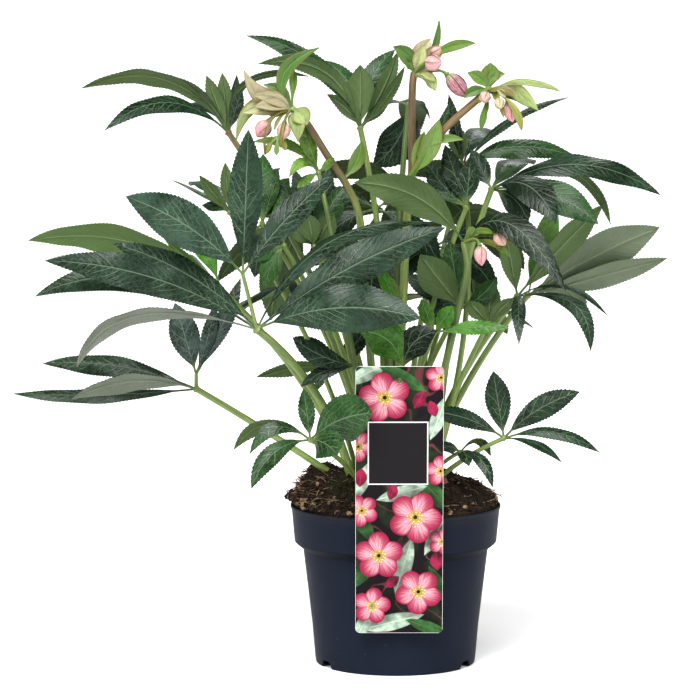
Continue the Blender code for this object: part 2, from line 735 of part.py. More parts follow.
def pot_profile():
    inner_foot = FOOT_RADIUS - WALL
    return (
        (0.0, FLOOR),
        (inner_foot, FLOOR),
        (BODY_TOP_RADIUS - WALL, BODY_TOP_Z),
        (COLLAR_LOW_RADIUS - WALL, COLLAR_LOW_Z),
        (RIM_RADIUS - WALL, POT_HEIGHT),
        (RIM_RADIUS - 0.5, POT_HEIGHT),
        (RIM_RADIUS, POT_HEIGHT - 0.8),
        (RIM_RADIUS - 0.2, POT_HEIGHT - RIM_LIP),
        (RIM_RADIUS - 0.9, POT_HEIGHT - RIM_LIP - 0.6),
        (COLLAR_LOW_RADIUS, COLLAR_LOW_Z),
        (BODY_TOP_RADIUS, BODY_TOP_Z),
        (FOOT_RADIUS + 0.6, 4.0),
        (FOOT_RADIUS, 0.9),
        (FOOT_RADIUS - 0.9, 0.0),
        (0.0, 0.0),
    )


def notch_shape(angle):
    """A block that cuts a drain notch through the foot of the wall and the edge of the base."""
    turn = math.radians(angle)
    way = np.array((math.sin(turn), -math.cos(turn), 0.0))
    aside = np.array((math.cos(turn), math.sin(turn), 0.0))
    inner, outer = FOOT_RADIUS - 11.0, FOOT_RADIUS + 6.0
    verts = []
    for height, narrow in ((-2.0, 1.0), (NOTCH_HEIGHT, 0.6)):
        for side, far in ((-0.5, inner), (0.5, inner), (0.5, outer), (-0.5, outer)):
            point = way * far + aside * NOTCH_WIDTH * side * narrow
            verts.append((point[0], point[1], height))
    faces = [(3, 2, 1, 0), (4, 5, 6, 7)]
    faces += [(side, (side + 1) % 4, (side + 1) % 4 + 4, side + 4) for side in range(4)]
    return verts, faces


def make_pot(finish):
    pot = mesh_object("pot", turned(pot_profile(), POT_SIDES), finish)
    cutters = [mesh_object("notch", notch_shape(angle), finish) for angle in NOTCH_ANGLES]
    boolean(pot, cutters, "DIFFERENCE")
    return pot


def soil_shape():
    """The peat: it fills the pot down to the floor and is raised round the crown."""
    verts, rows = [], []
    for ring in SOIL_RINGS:
        if ring == 0.0:
            rows.append([0] * SOIL_SIDES)
            verts.append((0.0, 0.0, soil_height(0.0, 0.0)))
            continue
        row = []
        for side in range(SOIL_SIDES):
            angle = 2 * math.pi * side / SOIL_SIDES
            reach = ring * SOIL_WALL_RADIUS
            x, y = reach * math.sin(angle), -reach * math.cos(angle)
            row.append(len(verts))
            verts.append((x, y, soil_height(x, y)))
        rows.append(row)
    inside = WALL + 2 * GAP
    for radius, height in (
        (COLLAR_LOW_RADIUS - inside, COLLAR_LOW_Z),
        (BODY_TOP_RADIUS - inside, BODY_TOP_Z),
        (FOOT_RADIUS - inside, FLOOR + GAP),
    ):
        rows.append([len(verts) + side for side in range(SOIL_SIDES)])
        for side in range(SOIL_SIDES):
            angle = 2 * math.pi * side / SOIL_SIDES
            verts.append((radius * math.sin(angle), -radius * math.cos(angle), height))
    rows.append([len(verts)] * SOIL_SIDES)
    verts.append((0.0, 0.0, FLOOR + GAP))
    faces = []
    for upper, lower in zip(rows, rows[1:]):
        for side in range(SOIL_SIDES):
            after = (side + 1) % SOIL_SIDES
            quad = (upper[side], upper[after], lower[after], lower[side])
            corners = [corner for place, corner in enumerate(quad) if corner not in quad[:place]]
            faces.append(tuple(corners))
    return verts, faces


def tongue_slot():
    """A block that cuts room for the label's tongue at the edge of the peat."""
    low = TONGUE_LOW_Z - 2.0
    half = TONGUE_WIDTH / 2 + 0.6
    front, back = -RIM_RADIUS, TONGUE_INNER_Y + TONGUE_THICK + 0.4
    return box_shape((LABEL_CENTRE_X - half, front, low), (LABEL_CENTRE_X + half, back, POT_HEIGHT + 30))


def box_shape(low, high):
    verts = [
        (x, y, z)
        for z in (low[2], high[2])
        for x, y in ((low[0], low[1]), (high[0], low[1]), (high[0], high[1]), (low[0], high[1]))
    ]
    faces = [(3, 2, 1, 0), (4, 5, 6, 7)]
    faces += [(side, (side + 1) % 4, (side + 1) % 4 + 4, side + 4) for side in range(4)]
    return verts, faces


def make_soil(finish, roots):
    """The peat with a plain hole along the foot of each stalk and stem, and a slot for the tongue."""
    soil = mesh_object("soil", soil_shape(), finish)
    cutters = [mesh_object("slot", tongue_slot(), finish)]
    for start, after, radius in roots:
        way = unit(np.subtract(after, start))
        ends = (start - way * ROOT_HOLE_BELOW, start + way * ROOT_HOLE_ABOVE)
        wide = radius + ROOT_HOLE_ROOM
        cutters.append(mesh_object("hole", tube_shape(ends, (wide, wide), STALK_SIDES), finish))
    boolean(soil, cutters, "DIFFERENCE")
    return soil


def label_shape():
    """The card: a thin plate with round corners, leaning on the rim with its foot against the pot."""
    half, corner = LABEL_WIDTH / 2, LABEL_CORNER
    outline = []
    for cx, cz, first in (
        (half - corner, LABEL_HEIGHT - corner, 0),
        (corner - half, LABEL_HEIGHT - corner, 90),
        (corner - half, corner, 180),
        (half - corner, corner, 270),
    ):
        for point in range(LABEL_CORNER_POINTS):
            angle = math.radians(first + 90 * point / (LABEL_CORNER_POINTS - 1))
            outline.append((cx + corner * math.cos(angle), cz + corner * math.sin(angle)))
    lean = math.tan(math.radians(LABEL_LEAN))
    upright = math.cos(math.radians(LABEL_LEAN))
    verts = []
    for thick in (0.0, -LABEL_THICK):
        for x, up in outline:
            z = LABEL_LOW_Z + up * upright
            verts.append((LABEL_CENTRE_X + x, LABEL_RIM_Y + thick - lean * (z - POT_HEIGHT), z))
    count = len(outline)
    faces = [tuple(range(count)), tuple(range(2 * count - 1, count - 1, -1))]
    for index in range(count):
        after = (index + 1) % count
        faces.append((index, index + count, after + count, after))
    return verts, faces


def tongue_shapes():
    """The tongue at the card's back: a strip over the rim, then a leg down into the peat."""
    left, right = LABEL_CENTRE_X - TONGUE_WIDTH / 2, LABEL_CENTRE_X + TONGUE_WIDTH / 2
    inner = TONGUE_INNER_Y + TONGUE_THICK
    strip_low = POT_HEIGHT + GAP
    strip = box_shape((left, LABEL_RIM_Y - 1.2, strip_low), (right, inner, strip_low + TONGUE_THICK))
    leg = box_shape((left + 0.2, TONGUE_INNER_Y, TONGUE_LOW_Z), (right - 0.2, inner - 0.1, strip_low + 0.6))
    return [strip, leg]


def make_label(finish):
    return fused("label", [label_shape()] + tongue_shapes(), finish)


def bud_shape(bud):
    """A closed bud: folded sepals as soft ridges round a pointed egg."""
    axis = unit(bud.axis)
    across = unit(square_to(np.array((0.0, -1.0, 0.013)), axis))
    other = np.cross(axis, across)
    base = np.asarray(bud.base, float) + axis * GAP
    sides = BUD_SIDES
    verts, faces = [base], []
    for along, wide in BUD_ROWS:
        for side in range(sides):
            angle = 2 * math.pi * side / sides + BUD_TWIST * along
            radius = bud.radius * wide * (1.0 + (BUD_LOBE if side % 2 else -BUD_LOBE))
            ring = math.cos(angle) * across + math.sin(angle) * other
            verts.append(base + axis * bud.length * along + ring * radius)
    verts.append(base + axis * bud.length)
    end = 1 + (len(BUD_ROWS) - 1) * sides
    for side in range(sides):
        after = (side + 1) % sides
        faces.append((0, 1 + after, 1 + side))
        for row in range(len(BUD_ROWS) - 1):
            a, b = 1 + row * sides + side, 1 + row * sides + after
            faces += [(a, b, b + sides), (a, b + sides, a + sides)]
        faces.append((end + side, end + after, len(verts) - 1))
    return verts, faces


def main():
    clear_scene()
    plastic = material("pot_plastic", (0.032, 0.042, 0.06), 0.55)
    peat = material("peat", (0.035, 0.024, 0.018), 0.95)
    card = material("label_card", (0.62, 0.16, 0.26), 0.35)
    leaf_green = material("leaf_green", (0.045, 0.13, 0.06), 0.4)
    stem_green = material("stem_green", (0.22, 0.33, 0.09), 0.5)
    sepal_pink = material("sepal_pink", (0.72, 0.3, 0.34), 0.5)

    make_pot(plastic)
    make_label(card)
    thicket = Thicket()
    thicket.add("pot", turned(pot_profile(), POT_SIDES))
    thicket.add("label", label_shape())
    for bud in BUDS:
        mesh_object(bud.name, bud_shape(bud), sepal_pink)
        thicket.add(bud.name, bud_shape(bud))
    shapes, roots = grow_plant(thicket)
    make_soil(peat, roots)
    stems = {name for name, _, _ in FLOWER_STEMS}
    for name, pieces in shapes.items():
        fused(name, pieces, stem_green if name in stems else leaf_green)
    for obj in bpy.data.objects:
        obj.data.shade_smooth()
        obj.data.set_sharp_from_angle(angle=math.radians(35))
    print("Pieces with no clear place:", sorted(set(thicket.crossings)))


main()
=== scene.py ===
"""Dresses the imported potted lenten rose: toothed and veined leaves, flower stems with their bracts, folded
buds, fibrous peat, the nursery pot and its card label, on a plain stage. Tables are in millimetres, in the
model's frame: +Z is up and the label faces -Y.
"""

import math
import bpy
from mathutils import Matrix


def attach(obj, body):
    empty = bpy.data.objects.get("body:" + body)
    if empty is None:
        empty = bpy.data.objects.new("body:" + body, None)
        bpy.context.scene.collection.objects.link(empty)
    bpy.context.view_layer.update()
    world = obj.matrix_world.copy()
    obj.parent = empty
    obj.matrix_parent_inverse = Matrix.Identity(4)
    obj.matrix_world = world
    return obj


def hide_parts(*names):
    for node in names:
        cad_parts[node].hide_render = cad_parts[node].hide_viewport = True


bl_info = {
    "name": "Potted lenten rose",
    "version": (1, 0, 0),
    "blender": (4, 5, 0),
    "location": "3D View > Sidebar > Lenten Rose",
    "description": "Builds the visible plant, peat, pot and label around the packed model",
    "category": "Object",
}

from collections import namedtuple
from contextlib import contextmanager
from functools import partialmethod, wraps

import bpy
import numpy as np
from mathutils import Matrix, Vector, noise
from mathutils.kdtree import KDTree

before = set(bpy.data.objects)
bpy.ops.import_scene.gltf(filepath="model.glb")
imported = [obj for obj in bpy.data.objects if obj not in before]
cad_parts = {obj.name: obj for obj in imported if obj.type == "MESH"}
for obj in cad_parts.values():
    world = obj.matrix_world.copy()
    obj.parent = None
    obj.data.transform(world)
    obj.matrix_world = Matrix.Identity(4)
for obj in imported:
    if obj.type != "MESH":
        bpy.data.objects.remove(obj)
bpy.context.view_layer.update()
MM = 0.001

# The pot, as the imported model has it
POT_HEIGHT = 144.0
RIM_RADIUS = 95.0
WALL = 1.5
FLOOR = 2.0
FOOT_RADIUS = 72.0
BODY_TOP_RADIUS = 83.5
BODY_TOP_Z = 103.5
COLLAR_LOW_RADIUS = 91.4
COLLAR_LOW_Z = 111.0

# Radius and height of each of its rings, from the base over the rim bead and down the inner wall
POT_RINGS = (
    (FOOT_RADIUS - 0.9, 0.0), (FOOT_RADIUS - 0.2, 0.35), (FOOT_RADIUS, 0.9), (FOOT_RADIUS + 0.6, 4.0),
    (75.3, 35.0), (BODY_TOP_RADIUS - 0.15, BODY_TOP_Z - 1.2), (BODY_TOP_RADIUS, BODY_TOP_Z),
    (BODY_TOP_RADIUS + 0.9, BODY_TOP_Z + 1.4), (COLLAR_LOW_RADIUS - 1.0, COLLAR_LOW_Z - 1.3),
    (COLLAR_LOW_RADIUS - 0.25, COLLAR_LOW_Z - 0.5), (COLLAR_LOW_RADIUS, COLLAR_LOW_Z + 0.4),
    (RIM_RADIUS - 0.95, POT_HEIGHT - 3.2), (RIM_RADIUS - 0.85, POT_HEIGHT - 2.9),
    (RIM_RADIUS - 0.25, POT_HEIGHT - 2.6), (RIM_RADIUS, POT_HEIGHT - 2.1), (RIM_RADIUS, POT_HEIGHT - 0.8),
    (RIM_RADIUS - 0.15, POT_HEIGHT - 0.3), (RIM_RADIUS - 0.55, POT_HEIGHT),
    (RIM_RADIUS - WALL + 0.3, POT_HEIGHT), (RIM_RADIUS - WALL, POT_HEIGHT - 0.3),
    (COLLAR_LOW_RADIUS - WALL, COLLAR_LOW_Z), (BODY_TOP_RADIUS - WALL, BODY_TOP_Z),
    (FOOT_RADIUS - WALL, FLOOR),
)

# Its drain notches, which are wider at their foot than at their top
NOTCH_ANGLES = (-60.0, 60.0, 180.0)
NOTCH_BEVEL = 1.6
NOTCH_SIZE = (19.0, 17.0, 6.5)
NOTCH_TAPER = (1.2, 0.6)

# The peat's surface
SOIL_EDGE_Z = 140.0
SOIL_RISE = 34.0
SOIL_HEAP_RISE = 16.0
SOIL_HEAP_X = -74.0
SOIL_REACH = 92.0
PEAT_RINGS = 46
PEAT_SIDES = 150
PEAT_SIDE_RINGS = ((COLLAR_LOW_RADIUS - 2.1, COLLAR_LOW_Z), (BODY_TOP_RADIUS - 2.1, BODY_TOP_Z),
                   (FOOT_RADIUS - 1.3, 8.0))
MOSS_SPOT = (-42, -40)
MOSS_SPREAD = (14, 26)
MOSS_TINT = (0.05, 0.075, 0.02)
MOSS_SHARE = 0.6
CRUMB_SIZES = (0.8, 2.6)
CHIP_SHARE = 0.12
FIBRE_LENGTHS = (6, 24)
FIBRE_RADII = (0.2, 0.52)
ROOT_DEPTH = 10.0

# The label
LABEL_SIZE = (77.0, 0.9, 242.0)
LABEL_CENTRE_X = 2.0
LABEL_LOW = (-83.85, 41.5)
LABEL_LEAN = 6.5
LABEL_CORNER = 4.0
LABEL_HOLE = (229.0, 2.6)
TONGUE = (
    ("tongue_strip", 10.0, (-96.0, 144.3), (-88.3, 145.5)),
    ("tongue_leg", 9.8, (-89.5, 126.0), (-88.4, 144.9)),
)
PANEL_CENTRE = (-1.3, 164.0)
PANEL_HALF = (26.5, 28.5)

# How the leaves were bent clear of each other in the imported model
SWING_STEP = 5.0
SWING_STEPS = 14
LEAF_LIFT = 4.0

# Stalks: a blade's own, as a share of its length, and its half width there, how a leaf's stalk swells at its
# foot and reaches past its hub, and the radii of a twig
STALK_SHARE = 0.1
BASE_HALF_WIDTH = 1.1
STALK_FOOT = 1.25
STALK_KNOB = 2.0
TWIG_RADII = (1.8, 1.6)

# Blade sheets: where the columns stand across half a blade, the rows of one tooth, and how far each reaches
HALF_COLUMNS = (0.0, 0.0, 0.19, 0.39, 0.6, 0.83, 1.0)
TOOTH_ROWS = np.array((0.0, 0.78))
TOOTH_REACH = np.array((-0.5, 0.5))
RIB_HALF = 0.9
THIN_SHARE = 0.4
TIP_TRIM = 0.4
BLADE_BIAS = 1.08
SLENDER_WIDTH = 8
SLENDER_BIAS = 1.9
UNDER_PALENESS = 0.1

# How a blade folds down from its rib, its side veins, its groove, its waves and how its colour varies
FOLD = (0.08, 0.34)
VEIN_SLOPE = 1.1
VEIN_CURVE = 0.045
VEIN_STAGGER = 0.45
VEIN_START = 3.0
VEIN_REACH = 2.4
VEIN_DEPTH = 0.1
GROOVE_DEPTH = 0.4
GROOVE_HALF = 1.1
WAVE_PITCH = (38, 70)
WAVE_HEIGHT = 0.1
BRACT_WAVE = 2.2
TWIST = 0.12
SKIN_SPREAD = (0.85, 1.18)
ROUND = 6.28
PLANT_ANGLE = 55

# Towards the label's side, where every tube and bud starts its round, and straight up
FRONT = np.array((0.0, -1.0, 0.013))
UP = np.array((0.0, 0.0, 1.0))

# The first seed of each kind of piece
LEAF_SEED = 100
STEM_SEED = 200
BUD_SEED = 300

Blade = namedtuple("Blade", "tip width rise turn finish belly peak", defaults=(None, None, 0.5))
Arm = namedtuple("Arm", "base blades")
Leaf = namedtuple("Leaf", "name finish root hub stalk arms bow", defaults=(0.1,))
Stem = namedtuple("Stem", "points radii colours")
Bud = namedtuple("Bud", "name stem start base axis length radius colour")

# Colours of the blades' upper faces. A leaf may add a fourth number, which is how pale its lower faces are
DARK = (0.008, 0.026, 0.010)
BLUE = (0.013, 0.033, 0.017)
STEEL = (0.024, 0.050, 0.031)
SLATE = (0.046, 0.066, 0.061)
# Painted shade: the next colour is a near-black green for blades that lie in shade, which paints that shade
# into them
PAINTED_SHADE_GREEN = (0.004, 0.013, 0.005)
GREEN = (0.017, 0.052, 0.012)
DEEP_GREEN = (0.030, 0.095, 0.016)
BRIGHT = (0.050, 0.150, 0.014)
MOSS = (0.085, 0.180, 0.030)
FRESH = (0.200, 0.310, 0.080)
LIME = (0.130, 0.230, 0.040)
PALE = (0.330, 0.390, 0.160)
CREAM = (0.460, 0.450, 0.240)
ROSE = (0.430, 0.360, 0.255)
OLIVE_GOLD = (0.280, 0.290, 0.055)
UMBER = (0.200, 0.160, 0.045)
LEAFY = (GREEN, DARK, PAINTED_SHADE_GREEN)

# Colours of the stalks and stems
STALK = (0.170, 0.238, 0.076)
STALK_LIGHT = (0.240, 0.325, 0.108)
BROWN = (0.200, 0.130, 0.064)
BARK = (0.125, 0.084, 0.042)
OLIVE = (0.190, 0.220, 0.070)
RUST = (0.180, 0.085, 0.060)
SHEATH = (0.330, 0.440, 0.170)
SHADED = (0.070, 0.110, 0.032)
SHADED_STALKS = ("leaf_light_left", "leaf_behind_stem")


def hand(*rows, base=None):
    """The blades that spring from one place. A row holds a tip's three numbers, then the rest of a blade."""
    return Arm(base, tuple(Blade(row[:3], *row[3:]) for row in rows))


def leaf(name, finish, root, hub, stalk, *arms, bow=0.1):
    return Leaf(name, finish, root, hub, stalk, arms, bow)


# Each blade: its tip, its width, how far its rib bows up, which way its upper face looks, in degrees from
# straight up towards the label's side, its finish where that isn't the leaf's, how far its widest place lies
# towards its foot, and the share of its length at which the bow is highest. The hubs and tips stand LEAF_LIFT
# above the heights written here
LEAVES = (
    leaf("leaf_front_left", (*BLUE, 0.9), (-38, -20), (-123, -80, 307), 3.3,
         hand((20, -125, 321, 43, 14, 80), (42, -88, 397, 36, 9, 75), (36, -45, 398, 28, 34, 25),
              (-307, -100, 369, 32, 15, 70), (-249, -82, 383, 28, 10, 65),
              (-319, -62, 334, 26, 29, 60, DARK, None, 0.6),
              (-279, -112, 277, 19, 34, -50, None, None, 0.75)),
         hand((-58, -72, 441, 26, 4, 80), (-130, -75, 482, 30, 0, 88), (-236, -100, 425, 40, 8, 80, STEEL),
              base=(-135, -85, 356)), bow=0.18),
    leaf("leaf_lower_left_front", GREEN, (-28, -33), (-76, -95, 211), 2.0,
         hand((-127, -125, 172, 18, 13, 65), (-144, -80, 200, 18, 20, -40), (-129, -108, 200, 14, 18, 50),
              (-82, -88, 256, 15, 0, 85), (-22, -138, 240, 42, 6, 80), (-52, -132, 203, 30, 4, 75))),
    leaf("leaf_lower_right", DARK, (27, -30), (96, -40, 205), 1.9,
         hand((25, -62, 232, 17, 6, 75), (86, -45, 266, 23, 0, 85), (163, -50, 248, 22, 6, 75),
              (180, -60, 195, 14, 12, 45), (145, -85, 190, 11, 7, 30))),
    leaf("leaf_low_right_small", DARK, (14, -33), (57, -35, 192), 1.7,
         hand((84, -38, 187, 14, 13, -30), (85, -72, 165, 12, 12, 60), (64, -70, 184, 13, 6, 40),
              (38, -60, 197, 14, 4, 60))),
    leaf("leaf_lower_left", (*DARK, 0.8), (-41, -7), (-179, -20, 247), 2.6,
         hand((-288, -60, 243, 22, 12, -60), (-320, 20, 265, 22, 9, 50), (-342, -30, 244, 18, -3, 45)),
         hand((-199, 5, 322, 27, 0, 70, SLATE), (-140, 20, 343, 17, -3, 60, SLATE),
              (-162, 5, 322, 13, -2, 65, SLATE), base=(-179, -18, 260)), bow=0.02),
    leaf("leaf_centre_front", BRIGHT, (0, -33), (6, -62, 266), 2.3,
         hand((-34, -72, 305, 34, 12, 75), (36, -66, 304, 28, 10, 70, PAINTED_SHADE_GREEN)),
         hand((-19, -35, 361, 12, 2, 60), base=(1, -45, 322))),
    leaf("leaf_centre_left", DARK, (-14, -33), (-33, -58, 272), 2.2,
         hand((-91, -70, 298, 20, -5, 65), (-62, -88, 262, 15, 6, 45))),
    leaf("leaf_right", BLUE, (19, 3), (110, 15, 327), 2.6,
         hand((100, 30, 384, 19, 0, -75, GREEN), (189, 50, 407, 27, 2, -70, GREEN),
              (189, -20, 313, 14, 19, 5), (172, -50, 284, 17, 28, 45, None, None, 0.75),
              (108, -60, 291, 13, 16, 10))),
    leaf("leaf_right_pale", (*MOSS, 0.64), (25, 16), (122, 72, 322), 2.6,
         hand((244, 85, 384, 40, 4, -75), (251, 80, 356, 24, 0, -75), (176, 90, 297, 24, 20, -50),
              (150, 150, 400, 30, 5, -30), (205, 165, 330, 32, 14, -10))),
    leaf("leaf_upper_right", GREEN, (38, -6), (86, 10, 424), 2.5,
         hand((238, 10, 419, 30, 25, 40, DARK), (180, -25, 395, 32, 13, 60),
              (140, -60, 398, 32, 20, 55, PAINTED_SHADE_GREEN), (198, 50, 388, 15, 36, -20, None, None, 0.65),
              (120, 30, 446, 11, 4, 30), (130, 120, 440, 28, 16, 0))),
    leaf("leaf_top_right", DARK, (31, 5), (62, 55, 442), 2.2,
         hand((158, 70, 504, 14, 12, 30), (166, 60, 450, 24, 14, 45, GREEN, None, 0.4),
              (53, 60, 482, 18, 0, -70), (48, 35, 508, 11, 0, 70), (90, 150, 470, 24, 15, 0))),
    leaf("leaf_middle_right", BLUE, (12, -9), (63, 0, 408), 2.2,
         hand((28, 10, 449, 22, -3, 70), (67, 5, 453, 20, 0, 75, DARK))),
    leaf("leaf_upper_left", DARK, (-14, 15), (-151, 30, 474), 2.5,
         hand((-283, 20, 514, 20, 30, -40), (-246, 60, 517, 18, 24, -40), (-260, -10, 478, 23, 26, 40),
              (-171, 40, 525, 15, 0, -70), (-157, 50, 527, 14, 0, -70), (-145, 85, 524, 12, 0, -40),
              (-79, 75, 523, 13, 30, -40, None, None, 0.35), (-138, 5, 514, 12, 0, 70),
              (-190, 130, 490, 26, 18, 0))),
    leaf("leaf_top_centre", GREEN, (-7, 3), (-32, 30, 478), 2.4,
         hand((-135, 40, 561, 20, 20, 50), (-124, 20, 536, 18, 26, -60), (-64, 60, 538, 20, 12, 50),
              (-32, 35, 535, 26, 0, -75), (2, 30, 547, 15, -3, -70), (8, 20, 534, 11, -3, -50),
              (0, 60, 548, 20, 12, 60), (-60, 150, 510, 26, 20, 0))),
    leaf("leaf_behind_stem", DARK, (-1, 15), (12, 55, 498), 2.4,
         hand((-21, 60, 442, 34, -8, 60), (-32, 70, 487, 12, 8, 20), (26, 75, 457, 14, -4, 60),
              (32, 70, 484, 6, 8, 0), (20, 160, 460, 26, 20, 0))),
    leaf("leaf_left_pale", BRIGHT, (-33, 4), (-157, -10, 336), 2.3,
         hand((-332, 20, 377, 31, 22, -60), (-209, 15, 380, 10, 0, -60), (-250, 110, 350, 30, 20, 20),
              (-200, 95, 400, 24, 10, 20))),
    leaf("leaf_middle_left", DEEP_GREEN, (-21, -21), (-100, -25, 376), 2.2,
         hand((-117, -42, 340, 20, 4, 50), (-127, -35, 362, 14, 3, 50), (-104, -5, 420, 18, 0, 60))),
    leaf("leaf_middle", GREEN, (-27, -10), (-73, -20, 375), 2.2,
         hand((-95, -15, 398, 17, 0, -70), (-79, -22, 405, 20, 0, -70), (-56, -15, 405, 20, 0, -70),
              (-113, 12, 431, 25, 8, 60), (-46, 2, 427, 24, 4, 60))),
    leaf("leaf_left_small", GREEN, (-32, 26), (-150, 25, 402), 1.9,
         hand((-177, 20, 436, 13, 0, -60), (-154, 30, 447, 12, 0, -60), (-176, 45, 407, 14, 4, 40),
              (-203, 60, 429, 8, 3, 0), (-190, 125, 420, 26, 14, 0))),
    leaf("leaf_left_inner", DEEP_GREEN, (-20, 3), (-120, -8, 395), 1.9,
         hand((-105, 5, 441, 12, 0, 70), (-121, 0, 421, 10, 0, 70), (-96, 30, 433, 22, 4, 60),
              (-120, 42, 451, 22, 4, 60))),
    leaf("leaf_right_inner", GREEN, (33, -18), (83, -20, 306), 2.0,
         hand((64, -20, 327, 16, 0, -70), (84, -15, 344, 20, 0, -70), (105, -32, 330, 14, 2, -70))),
    leaf("leaf_right_middle", GREEN, (-1, -9), (58, -12, 320), 2.2,
         hand((21, -20, 368, 34, 0, -70), (86, -35, 345, 17, -4, 60), (19, -2, 336, 20, 4, 60),
              (48, 2, 377, 22, 0, 70))),
    leaf("leaf_centre_small", BRIGHT, (6, -21), (34, -34, 299), 1.8,
         hand((22, -32, 329, 14, 0, 70), (50, -40, 324, 16, 0, 60), (99, -52, 305, 14, 3, 60))),
    leaf("leaf_light_left", LIME, (-21, -42), (-69, -24, 441), 2.0,
         hand((-87, -30, 491, 15, 2, 70), (-128, -18, 468, 10, 12, 60), (-95, -48, 438, 10, 12, 60),
              (-55, -38, 455, 8, 0, 70), (-88, -42, 428, 9, 2, 60))),
    leaf("leaf_low_behind", GREEN, (-27, 15), (-52, 30, 262), 2.0,
         hand((-124, 20, 251, 17, 4, -60), (-74, 40, 236, 14, 5, 30))),
)

# Small inner leaflets that close the middle of the plant, by the leaf that bears them
INNER_LEAFLETS = {
    "leaf_left_inner": hand((-127, 0, 349, 20, 0, 55, DARK), (-138, 6, 366, 15, 3, 50, GREEN)),
    "leaf_middle": hand((-60, 16, 448, 22, 0, 60, DARK), (-92, 22, 446, 18, 2, 60, DARK)),
    "leaf_left_small": hand((-104, 32, 446, 15, 3, 50, DARK)),
    "leaf_middle_right": hand((44, 12, 468, 20, 0, 65, DARK), (36, 6, 430, 15, 2, 40, GREEN)),
    "leaf_upper_right": hand((68, 26, 463, 18, 0, 60, BLUE), (118, -8, 399, 26, 8, 40, DARK)),
    "leaf_right_middle": hand((8, 16, 350, 22, 2, 60, DARK), (30, -10, 306, 16, 4, 50, DARK)),
    "leaf_low_behind": hand((-24, 34, 302, 18, 0, 65, DARK), (-92, 36, 292, 16, 4, 50, DARK)),
    "leaf_top_centre": hand((-3, 42, 508, 16, 3, -50), (-62, 42, 512, 15, 4, -50)),
}

# Leaves deep in the plant and at its back, which open evenly: name, finish, root, hub, heading, tilt, leaflet
# length and width
FAN_STALK = 2.2
FAN_LEAVES = (
    ("leaf_deep_centre", DARK, (-7, -9), (-18, 42, 408), -95, 60, 84, 30),
    ("leaf_deep_right", DARK, (7, 7), (38, 66, 372), -80, 60, 76, 28),
    ("leaf_back_right_low", GREEN, (12, 15), (48, 84, 318), 50, 15, 96, 34),
    ("leaf_back_right", BLUE, (19, 28), (52, 114, 392), 66, 50, 92, 36),
    ("leaf_back_centre", DARK, (6, 28), (4, 122, 428), 88, 50, 116, 38),
    ("leaf_back_centre_low", GREEN, (-7, 28), (-6, 118, 350), 92, 25, 118, 40),
    ("leaf_back_left", BLUE, (-10, 39), (-80, 108, 392), 120, 50, 112, 38),
    ("leaf_back_left_low", DARK, (-20, 27), (-74, 84, 334), 150, 15, 96, 34),
)

# Flower stems: their tubes, with the colours from foot to top, then their bracts by the point they grow from
CENTRE, LEFT, SHOOT = "flower_stem_centre", "flower_stem_left", "flowering_shoot_right"
CENTRE_TUBES = (
    Stem(((-7, -21, 150), (0, -19, 205), (3, -16, 270), (7, -12, 345), (10, -8, 409),
          (14, -4, 441), (14, 0, 480), (14.5, 0, 518), (16, 0, 533)), (4.2, 3.2),
         (STALK, STALK_LIGHT, STALK_LIGHT, OLIVE, BARK, BARK, BROWN)),
    Stem(((13, -4, 440), (27, -8, 463), (46, -10, 486), (73, -12, 510), (84, -12, 520)), (3.4, 3.2),
         (LIME, BROWN, BROWN, STALK)),
)
CENTRE_BRACTS = (
    hand((-17, -32, 360, 14, 2, 75, LIME), base=(4, -15, 318)),
    hand((38, -17, 492, 17, -4, 80, FRESH), (60, -20, 474, 8, 14, 60, LIME),
         (48, -9, 508, 10, -4, 80, GREEN), base=(14, -6, 441)),
    hand((-3, -6, 556, 14, 6, 80, MOSS), (39, 6, 580, 6, -8, 80, MOSS, 1.6),
         (35, -16, 517, 13, 6, -60, PALE), (31, 10, 563, 17, 3, 85, ROSE), base=(16, 0, 529)),
    hand((72, -2, 560, 9, 5, 75, LIME, 1.4), base=(22, 9, 540)),
    hand((63, -14, 533, 11, 3, 80, LIME), (84, -8, 542, 16, 0, 85, LIME), (97, -10, 532, 10, 6, 80, LIME),
         (60, -18, 511, 9, 3, 70, MOSS), (147, 0, 516, 9, 7, 40, PALE),
         (127, -6, 499, 16, 6, 60, PALE, 0.75), (75, -22, 482, 6, 6, 60, MOSS),
         (112, -20, 481, 7, 8, 60, OLIVE_GOLD), base=(83, -12, 518)),
)
LEFT_TUBES = (
    Stem(((-14, -9, 150), (-18, -12, 220), (-27, -18, 330), (-32, -24, 400), (-42, -27, 430),
          (-63, -29, 463), (-80, -30, 490), (-93, -30, 503)), (3.6, 3.0),
         (STALK, STALK, STALK, OLIVE, BARK, BARK, SHEATH)),
)
LEFT_BRACTS = (
    hand((-68, -30, 556, 12, 19, 80, MOSS, None, 0.35), (-91, -24, 537, 7, 0, 80, LIME),
         (-118, -26, 523, 10, 6, 70, MOSS), (-135, -32, 536, 22, -8, 75, ROSE, 0.45),
         (-142, -28, 474, 13, 18, 60, PALE, 0.8), (-116, -54, 462, 2.6, 14, 60, UMBER),
         (-103, -54, 466, 3.2, 8, 60, UMBER), (-88, -46, 476, 15, 6, 75, PALE, 0.7), base=(-93, -30, 501)),
    hand((-31, -24, 473, 13, -4, 70, LIME), base=(-47, -28, 440)),
)
SHOOT_TUBES = (
    Stem(((19, -20, 150), (28, -22, 200), (43, -25, 268), (55, -28, 322), (63, -31, 358),
          (60, -32, 384)), (3.6, 3.0), (STALK, STALK, SHADED, STALK)),
)
SHOOT_BRACTS = (
    hand((-38, -52, 438, 34, 16, -70, GREEN), (147, -98, 346, 25, 34, 60, PAINTED_SHADE_GREEN, None, 0.2),
         (108, -54, 384, 8, 8, 60, LIME), (100, -56, 372, 6, 8, 60, LIME), (84, -66, 394, 7, 6, 60, LIME),
         base=(60, -32, 383)),
)
